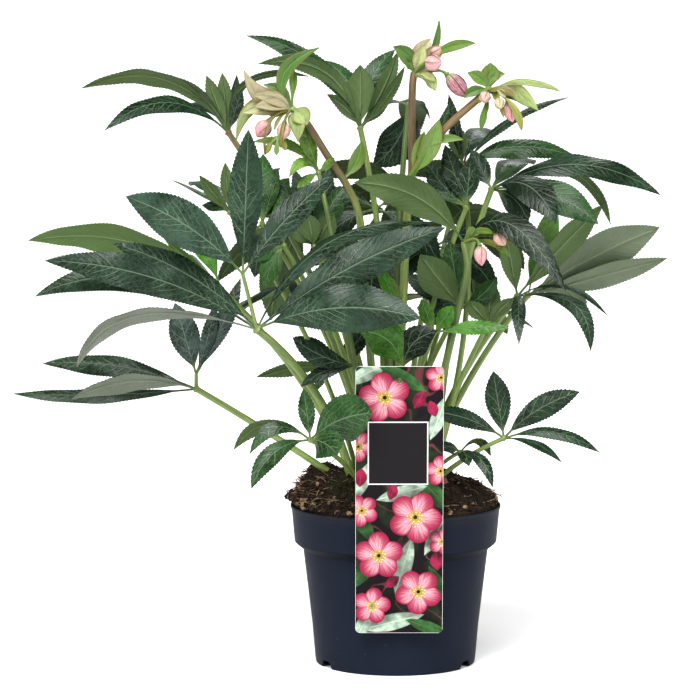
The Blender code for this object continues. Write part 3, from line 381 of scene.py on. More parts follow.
# Small bracts and sepals tucked in among the buds: where each grows from, then a row as for a blade
FRILLS = {
    CENTRE: (((16, 0, 531), 43, 3, 555, 15, 2, 80, ROSE, 1.2),
             ((16, 0, 531), 25, -2, 557, 12, 2, 80, CREAM),
             ((16, -1, 531), 40, -4, 534, 8, 4, 70, ROSE, 1.2),
             ((17, -3, 531), 34, -18, 526, 8, 3, 70, CREAM), ((16, -2, 531), 8, -10, 541, 6, 2, 70, LIME),
             ((14, -6, 441), 25, -16, 481, 12, -3, 80, FRESH),
             ((83, -14, 518), 90, -25, 508, 6, 2, 60, OLIVE_GOLD),
             ((83, -14, 518), 97, -21, 511, 6, 3, 60, CREAM),
             ((83, -14, 518), 73, -22, 506, 5, 2, 60, OLIVE_GOLD),
             ((83, -12, 518), 110, -12, 507, 10, 4, 70, CREAM),
             ((83, -14, 518), 88, -26, 517, 7, 1, 60, OLIVE_GOLD),
             ((83, -14, 518), 104, -20, 512, 8, 4, 60, UMBER),
             ((84, -14, 518), 118, -12, 502, 9, 5, 60, PALE, 1.3),
             ((84, -14, 517), 95, -25, 494, 4, 3, 60, OLIVE_GOLD),
             ((83, -13, 518), 80, -22, 497, 4, 3, 60, UMBER)),
    LEFT: (((-93, -30, 501), -137, -36, 498, 18, 5, 70, CREAM, 0.8),
           ((-93, -31, 501), -128, -40, 514, 13, 4, 70, ROSE, 0.75),
           ((-93, -32, 501), -126, -43, 504, 12, 3, 60, ROSE, 0.9),
           ((-92, -33, 502), -79, -42, 488, 17, 2, 80, PALE),
           ((-106, -50, 478), -116, -54, 463, 6, 1, 70, OLIVE_GOLD),
           ((-104, -50, 480), -98, -52, 466, 5, 1, 70, OLIVE_GOLD),
           ((-105, -50, 479), -106, -54, 462, 5, 1, 70, FRESH),
           ((-95, -33, 500), -120, -46, 484, 2.6, 4, 60, UMBER),
           ((-94, -31, 500), -108, -46, 484, 3.4, 4, 60, OLIVE_GOLD)),
    SHOOT: (((60, -32, 383), 92, -52, 380, 6, 4, 60, OLIVE_GOLD),
            ((60, -32, 383), 80, -58, 396, 6, 4, 60, FRESH), ((60, -32, 383), 70, -46, 396, 8, 3, 70, FRESH)),
}
FLOWER_STEMS = (
    (CENTRE, CENTRE_TUBES, CENTRE_BRACTS),
    (LEFT, LEFT_TUBES, LEFT_BRACTS),
    (SHOOT, SHOOT_TUBES, SHOOT_BRACTS),
)

# Buds: the stem that carries each, where its stalk leaves the stem, the end of the stalk, the way the bud
# points, its length, its radius and its colour
PEACH = (0.600, 0.370, 0.300)
PINK = (0.680, 0.310, 0.330)
DEEP_PINK = (0.280, 0.062, 0.110)
BUDS = (
    Bud("bud_centre_front", CENTRE, (16, -1, 531), (26, -12, 541), (0.75, -0.45, 0.1), 16, 7.8, PINK),
    Bud("bud_centre_top", CENTRE, (16, 0, 531), (31, 4, 548), (0.75, -0.1, 0.6), 12, 5.5, PEACH),
    Bud("bud_centre_drooping", CENTRE, (16, 0, 529), (45.6, -9, 531), (0.68, -0.1, -0.72), 26, 8.2,
        DEEP_PINK),
    Bud("bud_right_upper", CENTRE, (83, -12, 519), (79, -20, 515), (-0.1, -0.8, -0.5), 12, 5.4, PEACH),
    Bud("bud_right_middle", CENTRE, (83, -12, 519), (90, -22, 510), (0.2, -0.75, -0.6), 12, 4.8, CREAM),
    Bud("bud_right_lower", CENTRE, (84, -12, 519), (99, -14, 507), (0.25, -0.2, -0.95), 18, 6.3, PINK),
    Bud("bud_left_front", LEFT, (-92, -30, 502), (-113, -39, 491), (-0.6, -0.3, -0.75), 17, 7.6, PINK),
    Bud("bud_left_inner", LEFT, (-92, -30, 502), (-99, -42, 490), (-0.1, -0.4, -0.9), 16, 6.4, PEACH),
    Bud("bud_shoot_upper", SHOOT, (60, -32, 383), (87, -50, 393), (0.6, -0.35, -0.7), 14, 6.2, PEACH),
    Bud("bud_shoot_lower", SHOOT, (60, -32, 383), (73, -54, 382), (0.1, -0.2, -0.97), 17, 6.2, PINK),
)
BUD_STALK = (1.4, 1.1)
BUD_STALK_RINGS = 10
SEPAL_GRID = (8, 12)
BUD_PROFILE = ((0.0, 0.12, 0.25, 0.48, 0.66, 0.82, 0.93, 1.0), (0.35, 0.7, 0.9, 1.0, 0.88, 0.6, 0.32, 0.06))
SEPALS = 5
SEPAL_THICKNESS = 0.0005
SEPAL_HALF_ANGLE = 52.0

# The print's leaves: centre, half length, half width, turn and colour; and its flowers: centre, size and turn
PRINT_SAGE = (0.42, 0.54, 0.42)
PRINT_GREEN = (0.05, 0.14, 0.04)
PRINT_BUD = (0.30, 0.02, 0.07)
PRINTED_LEAVES = (
    (-28, 236, 24, 7, 28, PRINT_SAGE), (2, 232, 26, 7, -30, PRINT_GREEN), (34, 196, 22, 7, 70, PRINT_SAGE),
    (-34, 190, 22, 6, 80, PRINT_GREEN), (-33, 138, 26, 7, 62, PRINT_SAGE), (30, 128, 24, 8, -48, PRINT_GREEN),
    (2, 128, 24, 7, 16, PRINT_SAGE), (-32, 100, 22, 7, -60, PRINT_GREEN), (33, 92, 24, 7, 62, PRINT_SAGE),
    (4, 62, 28, 8, 74, PRINT_SAGE), (-32, 56, 22, 8, 50, PRINT_GREEN), (34, 44, 20, 7, -66, PRINT_GREEN),
    (-6, 10, 30, 8, 14, PRINT_SAGE), (26, 5, 22, 6, -20, PRINT_GREEN), (-30, 10, 22, 7, 62, PRINT_SAGE),
    (17, 212, 9, 6, 60, PRINT_BUD), (29, 204, 8, 5, 110, PRINT_BUD), (-6, 129, 8, 5, 70, PRINT_BUD),
    (-34, 142, 9, 6, 85, PRINT_BUD), (33, 66, 9, 6, 95, PRINT_BUD), (-6, 47, 8, 5, 40, PRINT_BUD),
)
PRINTED_BLOSSOMS = (
    (36, 232, 14, 0.3), (-36, 170, 14, 0.7), (36, 148, 14, 0.2), (-33, 112, 15, 0.9), (38, 84, 13, 0.5),
    (-13, 214, 23, 0.1), (14, 106, 24, 0.6), (-18, 71, 22, 0.25), (17, 38, 21, 0.8), (-24, 25, 17, 0.4),
)

# A petal's share of a round, the panel's frame, the printed field and how deep the printed face reaches
PETAL_ANGLE = 2 * math.pi / 5
PANEL_FRAME = (0.8, 0.78, 0.76)
FRAME_WIDTH = 1.1
PRINT_FIELD = ((0.0, 121.0), (38.2, 120.7))
BACK_DEPTH = -0.6

# The studio
CAMERA_PLACE = (-0.043, -3.2, 0.64)
CAMERA_AIM_Z = 0.2855
LIGHT_AIM = (-0.04, 0.0, 0.32)
FLOOR_DROP = -0.0002
WALL_RISE = (0.16, 0.34)
SUN_TURN = (30.0, -9.0, 0.0)
SUN_ANGLE = 38.0

# Each light's name, place, size and power
STUDIO_LIGHTS = (
    ("key_light", (-1.0, -2.4, 1.9), 0.9, 20.0),
    ("side_light", (1.9, -1.2, 1.4), 0.8, 8.0),
    ("back_light", (0.3, 1.9, 2.0), 1.0, 12.0),
)


# Selecting and finishing


def deselect():
    bpy.ops.object.select_all(action="DESELECT")


def pick(*objs):
    """Selects these objects alone, with the first one active."""
    deselect()
    for obj in objs:
        obj.select_set(True)
    bpy.context.view_layer.objects.active = objs[0]


def apply_modifier(obj, kind, **settings):
    pick(obj)
    modifier = obj.modifiers.new(kind.title(), kind)
    for key, value in settings.items():
        setattr(modifier, key, value)
    bpy.ops.object.modifier_apply(modifier=modifier.name)


@contextmanager
def editing(select=None):
    """Edit mode, with all of the mesh or nothing selected where that is asked for."""
    bpy.ops.object.mode_set(mode="EDIT")
    if select:
        bpy.ops.mesh.select_all(action=select)
    yield
    bpy.ops.object.mode_set(mode="OBJECT")


def primitive(kind, **settings):
    """A new mesh of one of Blender's plain kinds."""
    deselect()
    getattr(bpy.ops.mesh, f"primitive_{kind}_add")(**settings)
    return bpy.context.object


def cut(obj, cutter):
    """Cuts one object from another, and drops it."""
    apply_modifier(obj, "BOOLEAN", operation="DIFFERENCE", object=cutter, solver="EXACT")
    bpy.data.objects.remove(cutter)


def joined(name, objs):
    pick(*objs)
    if len(objs) > 1:
        bpy.ops.object.join()
    made = bpy.context.view_layer.objects.active
    made.name = made.data.name = name
    return made


def settle(obj, angle, slot, *nodes):
    """The finished piece is smoothed, rides on the model's body and stands for its nodes. Its slot is not
    used."""
    if angle:
        pick(obj)
        bpy.ops.object.shade_smooth_by_angle(angle=math.radians(angle))
    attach(obj, "root")
    if nodes:
        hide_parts(*nodes)


def attribute(obj, name, kind, values):
    made = obj.data.attributes.new(name, kind, "POINT")
    key = {"FLOAT_VECTOR": "vector", "FLOAT_COLOR": "color"}[kind]
    made.data.foreach_set(key, np.ascontiguousarray(values, np.float32).ravel())


def dress(obj, place, skin, paleness=UNDER_PALENESS):
    """Stores where each point lies on its own blade or stalk, its colour and how pale its lower face is."""
    attribute(obj, "place", "FLOAT_VECTOR", place)
    skin = np.broadcast_to(np.asarray(skin, float), (len(place), 3))
    attribute(obj, "skin", "FLOAT_COLOR", np.column_stack((skin, np.full(len(place), paleness))))


def mesh_of(name, verts, faces, skin):
    mesh = bpy.data.meshes.new(name)
    mesh.from_pydata((np.asarray(verts) * MM).tolist(), [], [tuple(face) for face in faces])
    mesh.update()
    obj = bpy.data.objects.new(name, mesh)
    bpy.context.scene.collection.objects.link(obj)
    obj.data.materials.append(skin)
    return obj


# Shader trees


FLOAT = "NodeSocketFloat"
VECTOR = "NodeSocketVector"


class Value:
    """A shader socket that takes part in sums, so that a formula reads as one."""

    def __init__(self, tree, socket):
        self.tree = tree
        self.socket = socket

    def math(self, operation, *others, **settings):
        return self.tree.math(operation, self, *others, **settings)

    def __rsub__(self, other):
        return self.tree.math("SUBTRACT", other, self)

    def step(self, low, high, start=0.0, end=1.0):
        """Start below low, end above high, and smooth between. Low may be the greater."""
        feeds = enumerate((self, low, high, start, end))
        return self.tree.add("MapRange", feeds, interpolation_type="SMOOTHSTEP")

    __add__ = partialmethod(math, "ADD")
    __sub__ = partialmethod(math, "SUBTRACT")
    __mul__ = partialmethod(math, "MULTIPLY")
    __truediv__ = partialmethod(math, "DIVIDE")
    __pow__ = partialmethod(math, "POWER")
    __lt__ = partialmethod(math, "LESS_THAN")
    __gt__ = partialmethod(math, "GREATER_THAN")
    __abs__ = partialmethod(math, "ABSOLUTE")
    maximum = partialmethod(math, "MAXIMUM")
    scaled = partialmethod(math, "MULTIPLY_ADD")


class Tree:
    """Adds nodes to a shader tree, each fed by plain values or by other nodes' results."""

    def __init__(self, tree):
        self.tree = tree

    def put(self, value, socket):
        if isinstance(value, Value):
            self.tree.links.new(value.socket, socket)
        else:
            socket.default_value = (*value, 1.0) if socket.type == "RGBA" else value

    def node(self, kind, feeds=(), **settings):
        node = self.tree.nodes.new(kind)
        for key, value in settings.items():
            setattr(node, key, value)
        for socket, value in dict(feeds).items():
            self.put(value, node.inputs[socket])
        return node

    def add(self, kind, feeds=(), out=0, **settings):
        """One result of a new node."""
        return Value(self, self.node("ShaderNode" + kind, feeds, **settings).outputs[out])

    def math(self, operation, *values, **settings):
        return self.add("Math", enumerate(values), operation=operation, **settings)

    def mix(self, share, first, second, blend="MIX"):
        return self.add("Mix", {0: share, 6: first, 7: second}, 2, data_type="RGBA", blend_type=blend)

    def tint(self, colour, by):
        return self.mix(1.0, colour, by, "MULTIPLY")

    def noise(self, vector, scale, detail=2.0, rough=0.5):
        feeds = {"Vector": vector, "Scale": scale, "Detail": detail, "Roughness": rough}
        return self.add("TexNoise", feeds, "Fac")

    def cells(self, vector, scale, out="Distance", feature="F1"):
        return self.add("TexVoronoi", {"Vector": vector, "Scale": scale}, out, feature=feature)

    def split(self, vector):
        return [Value(self, part) for part in self.node("ShaderNodeSeparateXYZ", {0: vector}).outputs]

    def combine(self, *parts):
        return self.add("CombineXYZ", enumerate(parts))

    def read(self, name, out="Vector"):
        return self.add("Attribute", (), out, attribute_name=name)

    def object_place(self):
        return self.add("TexCoord", (), "Object")

    def group(self, maker, **feeds):
        """The results of a shader group by their names."""
        node = self.node("ShaderNodeGroup", node_tree=maker())
        for name, value in feeds.items():
            self.put(value, node.inputs[name.title()])
        return {socket.name: Value(self, socket) for socket in node.outputs}

    def shade(self, **values):
        """Feeds the material's own shader, by its sockets' names."""
        for key, value in values.items():
            socket = key.replace("_", " ").title().replace("Ior", "IOR")
            self.put(value, self.tree.nodes["Principled BSDF"].inputs[socket])

    def bump(self, height, distance, strength):
        feeds = {"Height": height, "Distance": distance * MM, "Strength": strength}
        self.shade(normal=self.add("Bump", feeds))


def shader_group(paint):
    """Makes a function of a tree and its sockets the maker of the group of its name, whose outputs are what
    the function returns. The group is made once."""

    def make():
        made = bpy.data.node_groups.get(paint.__name__)
        if made:
            return made
        made = bpy.data.node_groups.new(paint.__name__, "ShaderNodeTree")
        for name, kind in paint.__annotations__.items():
            made.interface.new_socket(name=name.title(), in_out="INPUT", socket_type=kind)
        tree = Tree(made)
        given = tree.node("NodeGroupInput").outputs
        results = paint(tree, *(Value(tree, given[name.title()]) for name in paint.__annotations__))
        for name in results:
            made.interface.new_socket(name=name, in_out="OUTPUT", socket_type=FLOAT)
        out = tree.node("NodeGroupOutput").inputs
        for name, value in results.items():
            tree.put(value, out[name])
        return made

    return make


def material(**constants):
    """Makes a function that paints a tree from settings the maker of the material of its name."""

    def wrap(paint):
        @wraps(paint)
        def make(looks):
            made = bpy.data.materials.new(paint.__name__)
            made.use_nodes = True
            tree = Tree(made.node_tree)
            tree.shade(**constants)
            paint(tree, looks)
            return made

        return make

    return wrap


@shader_group
def mottle(tree, vector: VECTOR, scale: FLOAT):
    """Soft patches: large ones broken up by small ones."""
    large = tree.noise(vector, scale, 3.0, 0.55)
    fine = tree.noise(vector, scale * 7.3, 2.0, 0.6)
    return {"Value": fine.scaled(0.35, large * 0.65).step(0.34, 0.66)}


@shader_group
def speckle(tree, vector: VECTOR, scale: FLOAT, share: FLOAT):
    """Small scattered spots. Share is how much of the surface they take."""
    spot = tree.cells(vector, scale)
    chance = tree.split(tree.cells(vector, scale, "Color"))[0] < share
    return {"Mask": chance * spot.step(0.34, 0.16)}


@shader_group
def blade_veins(tree, place: VECTOR, spacing: FLOAT):
    """A blade's veins from its own place: millimetres across, millimetres along, and its half width."""
    across, along, half = tree.split(place)
    aside = abs(across)
    rib_half = half.scaled(0.018, 0.18)
    rib = aside.step(rib_half * 1.7, rib_half * 0.55) * half.step(0.5, 3.0)
    run = tree.noise(place, 0.06, 3.0).scaled(17.0, along) - aside * VEIN_SLOPE
    run = run - aside**2.0 * VEIN_CURVE
    turns = run / spacing + (across > 0.0) * VEIN_STAGGER
    gap = abs(turns.math("FRACT") - 0.5) * spacing
    side = gap.step(0.48, 0.1) * (aside / half.maximum(0.5)).step(1.0, 0.45)
    net = tree.cells(place, 0.21, feature="DISTANCE_TO_EDGE").step(0.06, 0.01)
    relief = rib.maximum(gap.step(2.6, 0.0) * 0.4) + net * 0.16
    return {"Rib": rib, "Side": side, "Net": net, "Relief": relief}


@shader_group
def printed_blossom(tree, place: VECTOR, centre: VECTOR, size: FLOAT, turn: FLOAT):
    """An open five-petalled flower in print: its petals, their shade, its green heart, its stamens and the
    dusk round it."""
    x, y, _ = tree.split(tree.add("VectorMath", {0: place, 1: centre}, operation="SUBTRACT"))
    flat = tree.combine(x, y)
    reach = tree.add("VectorMath", {0: flat}, "Value", operation="LENGTH") / size
    sector = tree.math("ARCTAN2", y, x) / PETAL_ANGLE + turn
    local = (sector.math("FRACT") - 0.5) * PETAL_ANGLE
    which = ((sector / 5.0).math("FRACT") * 5.0).math("FLOOR")
    ahead = reach * local.math("COSINE")
    aside = reach * local.math("SINE")
    oval = ((ahead - 0.53) / 0.47) ** 2.0 + (aside / 0.44) ** 2.0
    petal = oval.step(1.0, 0.93)
    streak = tree.noise(tree.combine(local * 9.0, reach, which * 3.7), 1.8, 3.0).step(0.36, 0.62)
    rim = oval.step(0.97, 0.55) * reach.step(1.02, 0.4)
    shade = rim * streak.scaled(0.65, 0.35)
    shade = shade.math("MULTIPLY", aside.step(-0.34, 0.1, 0.15, 1.0), use_clamp=True)
    core = reach.step(0.34, 0.16)
    stamens = tree.cells(flat, 0.55).step(0.4, 0.2) * (reach.step(0.42, 0.34) * reach.step(0.05, 0.1))
    return {"Petal": petal, "Shade": shade, "Core": core, "Stamens": stamens, "Halo": reach.step(1.4, 0.9)}


# Materials


@material(specular_ior_level=0.3)
def leaf_upper(tree, looks):
    """A blade's upper face: mottled, with a fine bloom, pale veins and the stalk's colour at its foot."""
    place, spot, skin = tree.read("place"), tree.object_place(), tree.read("skin", "Color")
    _, along, half = tree.split(place)
    veins = tree.group(blade_veins, place=place, spacing=looks.vein_spacing)
    patches = tree.group(mottle, vector=spot, scale=45.0)["Value"]
    bloom = tree.group(speckle, vector=spot, scale=620.0, share=0.35)["Mask"]
    base = tree.mix(patches, tree.tint(skin, (0.5, 0.55, 0.48)), tree.tint(skin, (1.5, 1.5, 1.5)))
    base = tree.mix(bloom * 0.3, base, looks.bloom)
    strength = tree.noise(spot, 34.0).step(0.38, 0.6, 0.08, 0.85)
    lines = (veins["Side"] * strength).maximum(veins["Net"] * (strength * 0.3))
    lines = (veins["Rib"] * half.step(1.5, 8.0, 0.3, 0.6)).maximum(lines)
    colour = tree.mix(lines, base, tree.mix(0.5, skin, looks.vein))
    colour = tree.mix(along.step(15.0, 2.0, 0.0, 0.75), colour, looks.stalk)
    tree.shade(base_color=colour, roughness=patches.step(0.0, 1.0, 0.27, 0.44))
    tree.bump(tree.noise(spot, 95.0).scaled(1.6, 1.0 - veins["Relief"]), 0.4, 0.8)


@material(specular_ior_level=0.25)
def leaf_under(tree, looks):
    """A blade's lower face, with raised ribs and a faint net. The skin's alpha is how pale it is."""
    veins = tree.group(blade_veins, place=tree.read("place"), spacing=looks.vein_spacing)
    patches = tree.group(mottle, vector=tree.object_place(), scale=35.0)["Value"]
    green = tree.mix(0.75, tree.read("skin", "Color"), looks.under_green)
    pale = tree.mix(tree.read("skin", "Alpha"), green, looks.underside)
    base = tree.mix(patches, tree.tint(pale, (0.86, 0.88, 0.84)), pale)
    base = tree.mix(veins["Net"] * 0.25, base, tree.tint(pale, (0.7, 0.78, 0.6)))
    ribs = (veins["Rib"] * 0.45).maximum(veins["Side"] * 0.15)
    tree.shade(base_color=tree.mix(ribs, base, looks.rib), roughness=patches.step(0.0, 1.0, 0.52, 0.66))
    tree.bump(veins["Relief"], 0.4, 0.7)


@material(roughness=0.45, coat_weight=0.1, coat_roughness=0.3)
def stalk_skin(tree, looks):
    """Stalks and stems, streaked along their length and finely flecked."""
    x, y, along = tree.split(tree.read("place"))
    streak = tree.noise(tree.combine(x, y, along * 0.02), 2.4, 3.0, 0.6)
    skin = tree.read("skin", "Color")
    deep = tree.tint(skin, (0.74, 0.78, 0.62))
    colour = tree.mix(streak.step(0.36, 0.64), deep, tree.tint(skin, (1.2, 1.16, 1.12)))
    fleck = tree.group(speckle, vector=tree.object_place(), scale=700.0, share=0.25)["Mask"]
    tree.shade(base_color=tree.mix(fleck * 0.3, colour, deep))
    tree.bump(streak, 0.35, 0.6)


@material(roughness=0.48, coat_weight=0.08)
def bract_skin(tree, looks):
    """Thin bracts, which are alike on both faces, with fine lines along them and browned edges."""
    place, skin = tree.read("place"), tree.read("skin", "Color")
    veins = tree.group(blade_veins, place=place, spacing=6.0)
    across, along, half = tree.split(place)
    lines = tree.noise(tree.combine(across * 1.3, along * 0.08), 1.5)
    deep = tree.tint(skin, (0.62, 0.74, 0.5))
    colour = tree.mix(lines.step(0.35, 0.62), deep, skin)
    colour = tree.mix(veins["Rib"] * 0.3, colour, looks.rib)
    edge = (abs(across) / half.maximum(0.5)).step(0.72, 0.98) * lines.step(0.4, 0.55, 0.35, 1.0)
    colour = tree.mix(edge * 0.75, colour, looks.bract_edge)
    colour = tree.mix(along.step(9.0, 1.0, 0.0, 0.8), colour, looks.stalk)
    tree.shade(base_color=tree.mix(half.step(3.0, 0.6, 0.0, 0.35), colour, deep))
    tree.bump(1.0 - veins["Relief"], 0.3, 0.6)


@material(roughness=0.5, sheen_weight=0.25, coat_weight=0.06)
def sepal_skin(tree, looks):
    """A bud's sepals: veined, with painted shade at the under edge and green at the outer edge, where they
    lap.
    """
    across, along, _ = tree.split(tree.read("place"))
    vein = tree.noise(tree.combine(across * 4.0, along * 0.1), 1.6)
    skin = tree.read("skin", "Color")
    deep = tree.tint(skin, (0.78, 0.58, 0.6))
    colour = tree.mix(vein.step(0.32, 0.6), deep, tree.mix(0.3, skin, (0.86, 0.68, 0.62)))
    # Painted shade: the edge that lies under the neighbouring sepal is deepened
    colour = tree.mix(across.step(-0.2, -0.8, 0.0, 0.7), colour, deep)
    green = tree.tint(skin, (0.34, 0.36, 0.18))
    tree.shade(base_color=tree.mix(across.step(0.74, 0.95, 0.0, 0.9), colour, green))
    tree.bump(vein, 0.12, 0.5)


@material(specular_ior_level=0.05)
def pot_plastic(tree, looks):
    """Dull dark plastic, a little dusty, with painted shade in the crease below the collar and soiled at the
    rim.
    """
    place = tree.object_place()
    patches = tree.group(mottle, vector=place, scale=9.0)["Value"]
    dust = tree.group(speckle, vector=place, scale=210.0, share=0.03)["Mask"]
    height = tree.split(place)[2]
    colour = tree.mix(dust * 0.06, tree.mix(patches, looks.colour, looks.colour_light), looks.dust)
    # Painted shade: the crease where the wall steps in below the collar is darkened
    painted_crease_shade = height.step(0.102, 0.105) * height.step(0.112, 0.110)
    colour = tree.mix(painted_crease_shade, colour, tree.tint(colour, (0.5, 0.5, 0.5)))
    soiled = height.step(0.132, 0.146) * tree.noise(place, 160.0, 3.0)
    colour = tree.mix(soiled * 0.35, colour, (0.075, 0.062, 0.05))
    grain = tree.noise(place, 1400.0)
    tree.shade(base_color=colour, roughness=patches.scaled(0.08, grain.scaled(0.1, 0.4)))
    tree.bump(grain, 0.05, 0.35)


@material(roughness=0.95, specular_ior_level=0.2)
def peat(tree, looks):
    """Damp peat with dry chips in it."""
    place, skin = tree.object_place(), tree.read("skin", "Color")
    fine = tree.noise(place, 420.0, 4.0, 0.65)
    chips = tree.group(speckle, vector=place, scale=330.0, share=0.1)["Mask"]
    colour = tree.mix(fine.step(0.36, 0.68), tree.tint(skin, (0.4, 0.38, 0.36)), skin)
    tree.shade(base_color=tree.mix(chips * 0.7, colour, looks.chip))
    tree.bump(fine + chips, 0.9, 0.9)


def outside(x, y, centre, half):
    """How far outside a rectangle a place is. It is below zero inside."""
    off_x, off_y = abs(x - centre[0]), abs(y - centre[1])
    return (off_x - half[0]).maximum(off_y - half[1])


@material(specular_ior_level=0.15)
def label_print(tree, looks):
    """The card's print: a field of soft leaves and open flowers, with a bare dark panel in a pale frame."""
    place = tree.read("place")
    x, y, depth = tree.split(place)
    flat = tree.combine(x, y)
    cloud = tree.noise(flat, 0.035)
    colour = tree.mix(cloud.step(0.46, 0.62), (0.009, 0.006, 0.008), (0.022, 0.045, 0.016))
    twig = abs(tree.noise(flat, 0.03, 1.0) - 0.5)
    colour = tree.mix(twig.step(0.016, 0.008), colour, (0.12, 0.035, 0.04))
    grain = tree.noise(flat, 0.12).step(0.3, 0.7)
    for centre_x, centre_y, length, width, turn, tint in PRINTED_LEAVES:
        cos, sin = math.cos(math.radians(turn)), math.sin(math.radians(turn))
        off_x, off_y = x - centre_x, y - centre_y
        along = off_y.scaled(sin, off_x * cos)
        aside = off_y.scaled(cos, off_x * -sin)
        along = (along / length) ** 2.0
        bowed = abs(aside) / width
        mask = (along + bowed).step(1.0, 0.86)
        vein = bowed.step(0.12, 0.03).maximum(grain)
        colour = tree.mix(mask, colour, [0.5 * part for part in tint])
        colour = tree.mix(mask * vein, colour, [1.15 * part for part in tint])
    for *centre, size, turn in PRINTED_BLOSSOMS:
        flower = tree.group(printed_blossom, place=place, centre=(*centre, 0.0), size=size, turn=turn)
        colour = tree.mix(flower["Halo"] * 0.6, colour, (0.008, 0.006, 0.006))
        petal = tree.mix(flower["Shade"], looks.petal_deep, looks.petal_light)
        petal = tree.mix(flower["Core"] * 0.85, petal, looks.core)
        petal = tree.mix(flower["Stamens"], petal, looks.heart)
        colour = tree.mix(flower["Petal"], colour, petal)
    panel = outside(x, y, PANEL_CENTRE, PANEL_HALF)
    colour = tree.mix(panel < 0.0, colour, PANEL_FRAME)
    colour = tree.mix(panel < -FRAME_WIDTH, colour, looks.panel)
    colour = tree.mix(outside(x, y, *PRINT_FIELD) > 0.0, colour, looks.card)
    colour = tree.mix(depth > BACK_DEPTH, colour, looks.card)
    fibre = tree.noise(place, 3.0)
    tree.shade(base_color=colour, roughness=fibre.scaled(0.1, 0.28))
    tree.bump(fibre, 0.02, 0.4)


@material(roughness=0.75, specular_ior_level=0.2, emission_strength=0.2, emission_color=(1.0, 1.0, 1.0))
def floor_paper(tree, looks):
    """The pale studio floor."""
    shade = tree.noise(tree.object_place(), 3.0)
    tree.shade(base_color=tree.mix(shade, (0.92, 0.92, 0.92), (0.94, 0.94, 0.94)))


PLANT_MATERIALS = (leaf_upper, leaf_under, stalk_skin, bract_skin, sepal_skin)


def plant_materials(looks):
    """The plant's materials by name, each made once."""
    named = {make.__name__: make for make in PLANT_MATERIALS}
    return {name: bpy.data.materials.get(name) or make(looks) for name, make in named.items()}


# Where the stalks and blades settled


def unit(vector):
    vector = np.asarray(vector, float)
    return vector / np.linalg.norm(vector)


def units(rows):
    return rows / np.linalg.norm(rows, axis=1)[:, None]


def square_to(vector, axis):
    """The part of a vector that is square to a unit axis."""
    return vector - np.dot(vector, axis) * axis


def face_way(turn):
    angle = math.radians(turn)
    return np.array((0.0, -math.sin(angle), math.cos(angle)))


def swings():
    """Zero, then steps to either side that grow."""
    found = [0.0]
    for step in range(1, SWING_STEPS + 1):
        found += [step * SWING_STEP, -step * SWING_STEP]
    return found


def swung_tip(base, tip, swing):
    """The tip moved to the front or the back, or up and down where the blade points that way."""
    base, tip = np.asarray(base, float), np.asarray(tip, float)
    way = unit(tip - base)
    aside = square_to(np.array((0.0, 1.0, 0.0)), way)
    if np.linalg.norm(aside) < 0.6:
        aside = square_to(UP, way)
    return tip + unit(aside) * swing


def bezier(share, start, control, end):
    """Points at shares of a curve from start to end, drawn towards a control point."""
    share = share[:, None]
    return (1 - share) ** 2 * start + 2 * share * (1 - share) * control + share**2 * end


def bowed(start, end, bow, side=0.0, count=4):
    """Points on a stalk that bows up by a share of its length, and sideways by a distance."""
    start, end = np.asarray(start, float), np.asarray(end, float)
    way = end - start
    across = unit(np.cross(way, (0.0, 0.0, 1.0)))
    lift = np.cross(across, unit(way))
    middle = (start + end) / 2 + lift * bow * np.linalg.norm(way) + across * side
    return bezier(np.linspace(0.0, 1.0, count), start, middle, end)


class Settled:
    """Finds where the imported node's stalk and blades were bent to, from the node's own corners."""

    def __init__(self, node):
        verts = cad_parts[node].data.vertices
        self.tree = KDTree(len(verts))
        for index, vert in enumerate(verts):
            self.tree.insert(vert.co / MM, index)
        self.tree.balance()

    def choose(self, point_of):
        """The swing whose point lies nearest to a corner of the node."""
        gaps = [self.tree.find(Vector(point_of(swing)))[2] for swing in swings()]
        return swings()[int(np.argmin(gaps))]

    def tip(self, base, tip):
        return swung_tip(base, tip, self.choose(lambda swing: swung_tip(base, tip, swing)))

    def stalk(self, leaf):
        def corner(side):
            points = bowed(root_of(leaf), leaf.hub, leaf.bow, side)
            way = unit(points[2] - points[0])
            across = unit(square_to(FRONT, way))
            return points[1] + across * leaf.stalk * (STALK_FOOT * 2 + 1) / 3

        return self.choose(corner)


def soil_height(x, y):
    """Height of the peat: low at the pot's wall, raised in the middle, with a heap at -X and soft lumps."""
    share = min(math.hypot(x, y) / (RIM_RADIUS - WALL), 1.0)
    mound = SOIL_RISE * (1 - share**2) ** 0.6
    lump = 2.2 * math.sin(0.083 * x + 1.1) * math.cos(0.071 * y - 0.4) + 1.2 * math.sin(0.19 * x + 0.16 * y)
    heap = SOIL_HEAP_RISE * math.exp(-(((x - SOIL_HEAP_X) / 24.0) ** 2) - ((y / 45.0) ** 2))
    return SOIL_EDGE_Z + mound + (lump + heap) * (1 - share**12)


def root_of(leaf):
    return (leaf.root[0], leaf.root[1], soil_height(*leaf.root) - ROOT_DEPTH)


def lifted(point):
    return (point[0], point[1], point[2] + LEAF_LIFT)


def fan(hub, heading, tilt, length, width, count=5, spread=105.0, fall=0.12, bow=0.14):
    """The blades of a leaf that opens like a hand, in a plane that dips by the tilt towards its heading."""
    ahead, dip = math.radians(heading), math.radians(tilt)
    made = []
    for index in range(count):
        share = 2.0 * index / (count - 1) - 1.0
        angle = math.radians(share * spread)
        reach = length * (1.0 - 0.3 * abs(share))
        along, aside = reach * math.cos(angle), reach * math.sin(angle)
        tip = (
            hub[0] + along * math.cos(dip) * math.cos(ahead) - aside * math.sin(ahead),
            hub[1] + along * math.cos(dip) * math.sin(ahead) + aside * math.cos(ahead),
            hub[2] - along * math.sin(dip) - reach * fall,
        )
        made.append(Blade(tip, width * (1.0 - 0.3 * abs(share)), reach * bow, -tilt * math.sin(ahead)))
    return (Arm(None, tuple(made)),)


